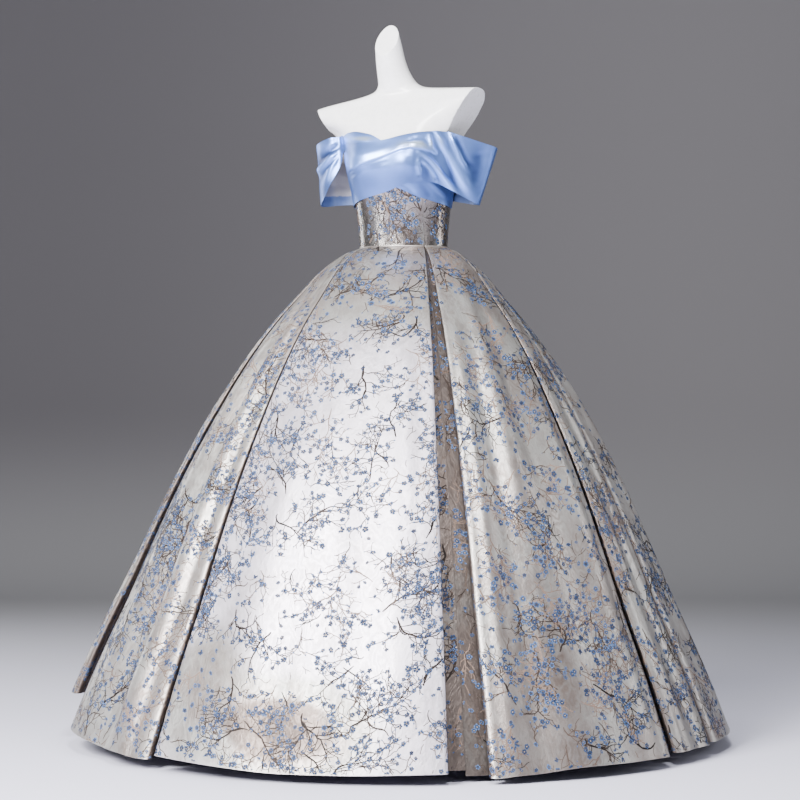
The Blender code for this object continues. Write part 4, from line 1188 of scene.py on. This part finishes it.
def build_form():
    sides = 112
    angle = np.arange(sides) * 360.0 / sides
    a = np.radians(angle)
    rings = [ring(angle, *row[1:]) + (0, 0, row[0]) for row in HIPS]
    for z in FORM_LEVELS:
        inside = FORM_IN + (SLIM_WAIST - FORM_IN) * (1 - smooth(WAIST_Z + 0.004, 1.250, z))
        zz = np.full(sides, z)
        side = 1 - smooth(*ARM_REACH, np.abs(np.minimum(angle, 360 - angle) - 90))
        swell = ARM_OUT * smooth(*ARM_Z, z) * side
        rings.append(body_at(angle, zz, swell - inside - CUP_EASE * cup_push(angle, zz)))
    for row in SHOULDERS:
        q = ring(angle, *row[1:])
        lean = SHOULDER_TILT * smooth(1.424, 1.500, row[0]) * (1 - smooth(1.55, 1.6, row[0]))
        q[:, 1] -= cups(q[:, 0], np.full(sides, row[0])) * facing(a)
        q[:, 2] = row[0] + lean * q[:, 0]
        rings.append(q)
    join = len(HIPS) + len(FORM_LEVELS)
    stack = np.array(rings)
    for _ in range(3):
        middle = stack[join - 3:join + 3]
        middle[:] = (stack[join - 4:join + 2] + 2 * middle + stack[join - 2:join + 4]) / 4
    steps = len(stack) - 1
    table = np.concatenate([np.arange(steps + 1)[:, None], stack.reshape(steps + 1, -1)], 1)
    fine = spline(table, np.linspace(0, steps, steps * 4 + 1)).reshape(-1, sides, 3)
    obj = new_mesh("form_body", fine.reshape(-1, 3), tube_faces(len(fine), sides), [LOOKS["form"]])
    cut_form(obj)
    keep = obj.modifiers.new("edges", "WEIGHTED_NORMAL")
    keep.keep_sharp = True
    declare(obj, "form_gloss", "form_torso")


def cut_form(obj):
    """Cuts the arm stumps and the neck off flat, with a small round at each rim."""
    tool = bmesh.new()
    tool.from_mesh(obj.data)
    rise = Vector((STUMP_TOP[0] - STUMP_FOOT[0], 0, STUMP_TOP[1] - STUMP_FOOT[1]))
    planes = []
    for side in (1, -1):
        across = Vector((side * rise.z, -STUMP_TURN * rise.z, -rise.x)).normalized()
        middle = Vector((side * (STUMP_TOP[0] + STUMP_FOOT[0]) / 2 + STUMP_SHIFT, 0,
                         (STUMP_TOP[1] + STUMP_FOOT[1]) / 2 + side * SHOULDER_TILT * STUMP_OUT))
        planes.append((middle, across))
    up = Vector((-NECK_CUT["turn"], -NECK_CUT["slope"], 1)).normalized()
    planes.append((Vector((0, NECK_CUT["y"], NECK_CUT["z"])), up))
    caps = tool.faces.layers.int.new("cap")
    for middle, normal in planes:
        cut = bmesh.ops.bisect_plane(tool, geom=tool.verts[:] + tool.edges[:] + tool.faces[:], dist=1e-6,
                                     plane_co=middle, plane_no=normal, clear_outer=True)
        edges = [e for e in cut["geom_cut"] if isinstance(e, bmesh.types.BMEdge) and e.is_boundary]
        cap = bmesh.ops.contextual_create(tool, geom=edges)["faces"]
        for face in cap:
            face[caps] = 1
    bmesh.ops.recalc_face_normals(tool, faces=tool.faces[:])
    rims = [e for e in tool.edges if sum(f[caps] for f in e.link_faces) == 1]
    bmesh.ops.bevel(tool, geom=rims, offset=STUMP_ROUND, segments=3, profile=0.5, affect="EDGES")
    bmesh.ops.recalc_face_normals(tool, faces=tool.faces[:])
    for face in tool.faces:
        face.smooth = True
    tool.to_mesh(obj.data)
    tool.free()


def turned(name, profile, node, look, slot, sides=96):
    """A round piece from its outline: radius and height of each corner."""
    a = np.arange(sides) * 2 * math.pi / sides
    rings = [np.stack([r * np.sin(a), -r * np.cos(a), np.full(sides, z)], -1) for r, z in profile]
    obj = new_mesh(name, np.concatenate(rings), tube_faces(len(rings), sides), [look])
    rounding = obj.modifiers.new("edge", "BEVEL")
    rounding.width = 0.0012
    rounding.segments = 2
    rounding.limit_method = "ANGLE"
    declare(obj, slot, node)


def build_stand():
    turned("stand_disc", (
        (BASE_R, 0.0), (BASE_R, BASE_THICK - BASE_EDGE), (BASE_R - BASE_EDGE, BASE_THICK),
        (COLLAR_R, BASE_THICK), (COLLAR_R, BASE_THICK + COLLAR_HIGH - BASE_EDGE),
        (COLLAR_R - BASE_EDGE, BASE_THICK + COLLAR_HIGH),
    ), "stand_base", LOOKS["steel"], "stand_steel")
    pole = ((POLE_R, BASE_THICK + COLLAR_HIGH + GAP), (POLE_R, HIPS[0][0] - GAP))
    turned("stand_tube", pole, "stand_pole", LOOKS["steel"], "stand_steel", 48)


def build_zip():
    z = np.concatenate([[WAIST_Z], np.linspace(WAIST_Z + STRAIGHT, BACK_TOP, 40)])
    rows = []
    for level in z[::-1]:
        zz = max(level, WAIST_Z + STRAIGHT)
        d = degrees_for(180.0, zz, ZIP_WIDTH / 2)
        row = body_at(180 + np.linspace(-d, d, 7), np.full(7, zz))
        row[:, 2] = level
        rows.append(row)
    p = np.array(rows)
    across, deep = arc_map(p, 3)
    uv = np.stack([across, -deep], -1)
    obj, _ = shell("zip_tape", p, SATIN, [LOOKS["tape"]], uv, 0.5, outward(grid_normals(p), p))
    declare(obj, "zip_tape", "back_zip")


# Stage

def stage_look(name):
    """Paper sweep with painted light: a pale floor, brightest near the camera, that darkens with distance
    into a grey wall painted a little lighter to the right; clear from behind.
    """
    tree = Tree(name)
    place = tree.value(tree.node("ShaderNodeTexCoord").outputs["Object"])
    spot = tree.node("ShaderNodeSeparateXYZ", {0: place})
    x, y, z = (tree.value(spot.outputs[i]) for i in range(3))
    turn = math.radians(CAMERA_TURN)
    reach = y * math.cos(turn) - x * math.sin(turn)
    right = x * math.cos(turn) + y * math.sin(turn)
    # Painted light: the wall lighter to the right, the floor bright near the camera and darker far off
    wall = tree.mix((0.112, 0.108, 0.120, 1.0), (0.192, 0.187, 0.200, 1.0), right.step(-1.8, 2.0))
    floor = tree.mix((0.82, 0.82, 1.0, 1.0), (0.23, 0.23, 0.245, 1.0), reach.step(-2.0, 4.2))
    behind = tree.value(tree.node("ShaderNodeNewGeometry").outputs["Backfacing"])
    tree.set(Base_Color=tree.mix(floor, wall, z.step(0.0, 0.8)), Roughness=0.85, Alpha=1.0 - behind)
    tree.shader.inputs["Specular IOR Level"].default_value = 0.15
    return tree.material


def build_stage():
    turn = math.radians(CAMERA_TURN)
    along = np.array([math.sin(turn), -math.cos(turn)])
    side = np.array([math.cos(turn), math.sin(turn)])
    quarter = np.linspace(0, math.pi / 2, 14)[1:]
    bend = [(-SWEEP_BEND * math.sin(a), SWEEP_BEND - SWEEP_BEND * math.cos(a)) for a in quarter]
    profile = [(d, 0.0) for d in SWEEP_FLOOR] + [(SWEEP_FLOOR[-1] + d, z) for d, z in bend]
    profile += [(SWEEP_FLOOR[-1] - SWEEP_BEND, z) for z in SWEEP_WALL]
    points = []
    for s in (-SWEEP_HALF, SWEEP_HALF):
        for d, z in profile:
            points.append((*(along * d + side * s), z))
    count = len(profile)
    faces = [(i, count + i, count + i + 1, i + 1) for i in range(count - 1)]
    sweep = new_mesh("paper_sweep", points, faces, [stage_look("sweep")])


def area_light(name, place, target, size, power, colour=(1, 1, 1), size_y=None):
    data = bpy.data.lights.new(name, "AREA")
    data.shape = "RECTANGLE"
    data.size = size
    data.size_y = size_y or size
    data.energy = power
    data.color = colour
    obj = bpy.data.objects.new(name, data)
    obj.location = place
    obj.rotation_euler = (Vector(target) - Vector(place)).to_track_quat("-Z", "Y").to_euler()
    bpy.context.scene.collection.objects.link(obj)


def build_light():
    area_light("key", around(4.6, -14, 3.1), (0, 0, 0.80), 2.2, 840, (1.0, 0.985, 0.965), 2.4)
    area_light("top_light", around(2.6, 22, 3.0), (0, 0, 1.42), 0.7, 105, (1.0, 0.99, 0.98), 0.7)
    area_light("strip_right", around(3.6, 112, 1.8), (0, 0, 0.8), 0.5, 34, (1, 1, 1), 2.6)
    area_light("strip_left", around(3.6, -112, 1.8), (0, 0, 0.8), 0.5, 44, (1, 1, 1), 2.6)
    area_light("low_strip", around(3.4, -42, 1.25), (0, 0, 1.15), 0.22, 26, (1, 1, 1), 1.5)
    area_light("fill", around(5.0, 52, 1.8), (0, 0, 0.8), 1.2, 16, (0.94, 0.97, 1.0), 2.4)
    area_light("floor_wash", around(2.0, 200, 5.4), (0, 0, 0.0), 4.5, 120, (0.95, 0.97, 1.0), 4.5)
    world = bpy.data.worlds.new("studio")
    world.use_nodes = True
    sky = world.node_tree.nodes["Background"]
    sky.inputs["Color"].default_value = (0.60, 0.61, 0.64, 1)
    sky.inputs["Strength"].default_value = 0.13
    bpy.context.scene.world = world


def build_camera():
    data = bpy.data.cameras.new("photo")
    data.lens = FOCAL * SENSOR / PICTURE
    data.sensor_width = SENSOR
    data.shift_x = -SHIFT / PICTURE
    cam = bpy.data.objects.new("photo", data)
    cam.location = around(CAMERA_AWAY, CAMERA_TURN, CAMERA_Z)
    cam.rotation_euler = (math.radians(90), 0, math.radians(CAMERA_TURN))
    bpy.context.scene.collection.objects.link(cam)
    bpy.context.scene.camera = cam


LOOKS = {
    "brocade": brocade_look("brocade_weave"),
    "bodice": brocade_look("brocade_stretched", metallic=0.80, rough=0.14),
    "brocade_inside": brocade_look("brocade_reverse", inside=True),
    # The blue satin's second colour is its painted shade
    "satin": satin_look("blue_satin", (0.23, 0.405, 1.0, 1.0), (0.028, 0.053, 0.175, 1.0)),
    "lining": satin_look("satin_reverse", (0.26, 0.36, 0.60, 1.0), (0.20, 0.28, 0.48, 1.0), inside=True),
    "form": plain_look("white_gloss", (0.95, 0.95, 0.97), 0.28, 0.0, 0.35),
    "steel": plain_look("brushed_steel", (0.55, 0.56, 0.58), 0.32, 1.0),
    "tape": plain_look("zip_weave", (0.60, 0.57, 0.57), 0.6),
    "motif": motif_look(),
}

build_form()
build_stand()
build_bodice()
build_zip()
build_bands()
build_sleeves()
for gore in GORES:
    build_gore(gore)
build_stage()
build_light()
build_camera()
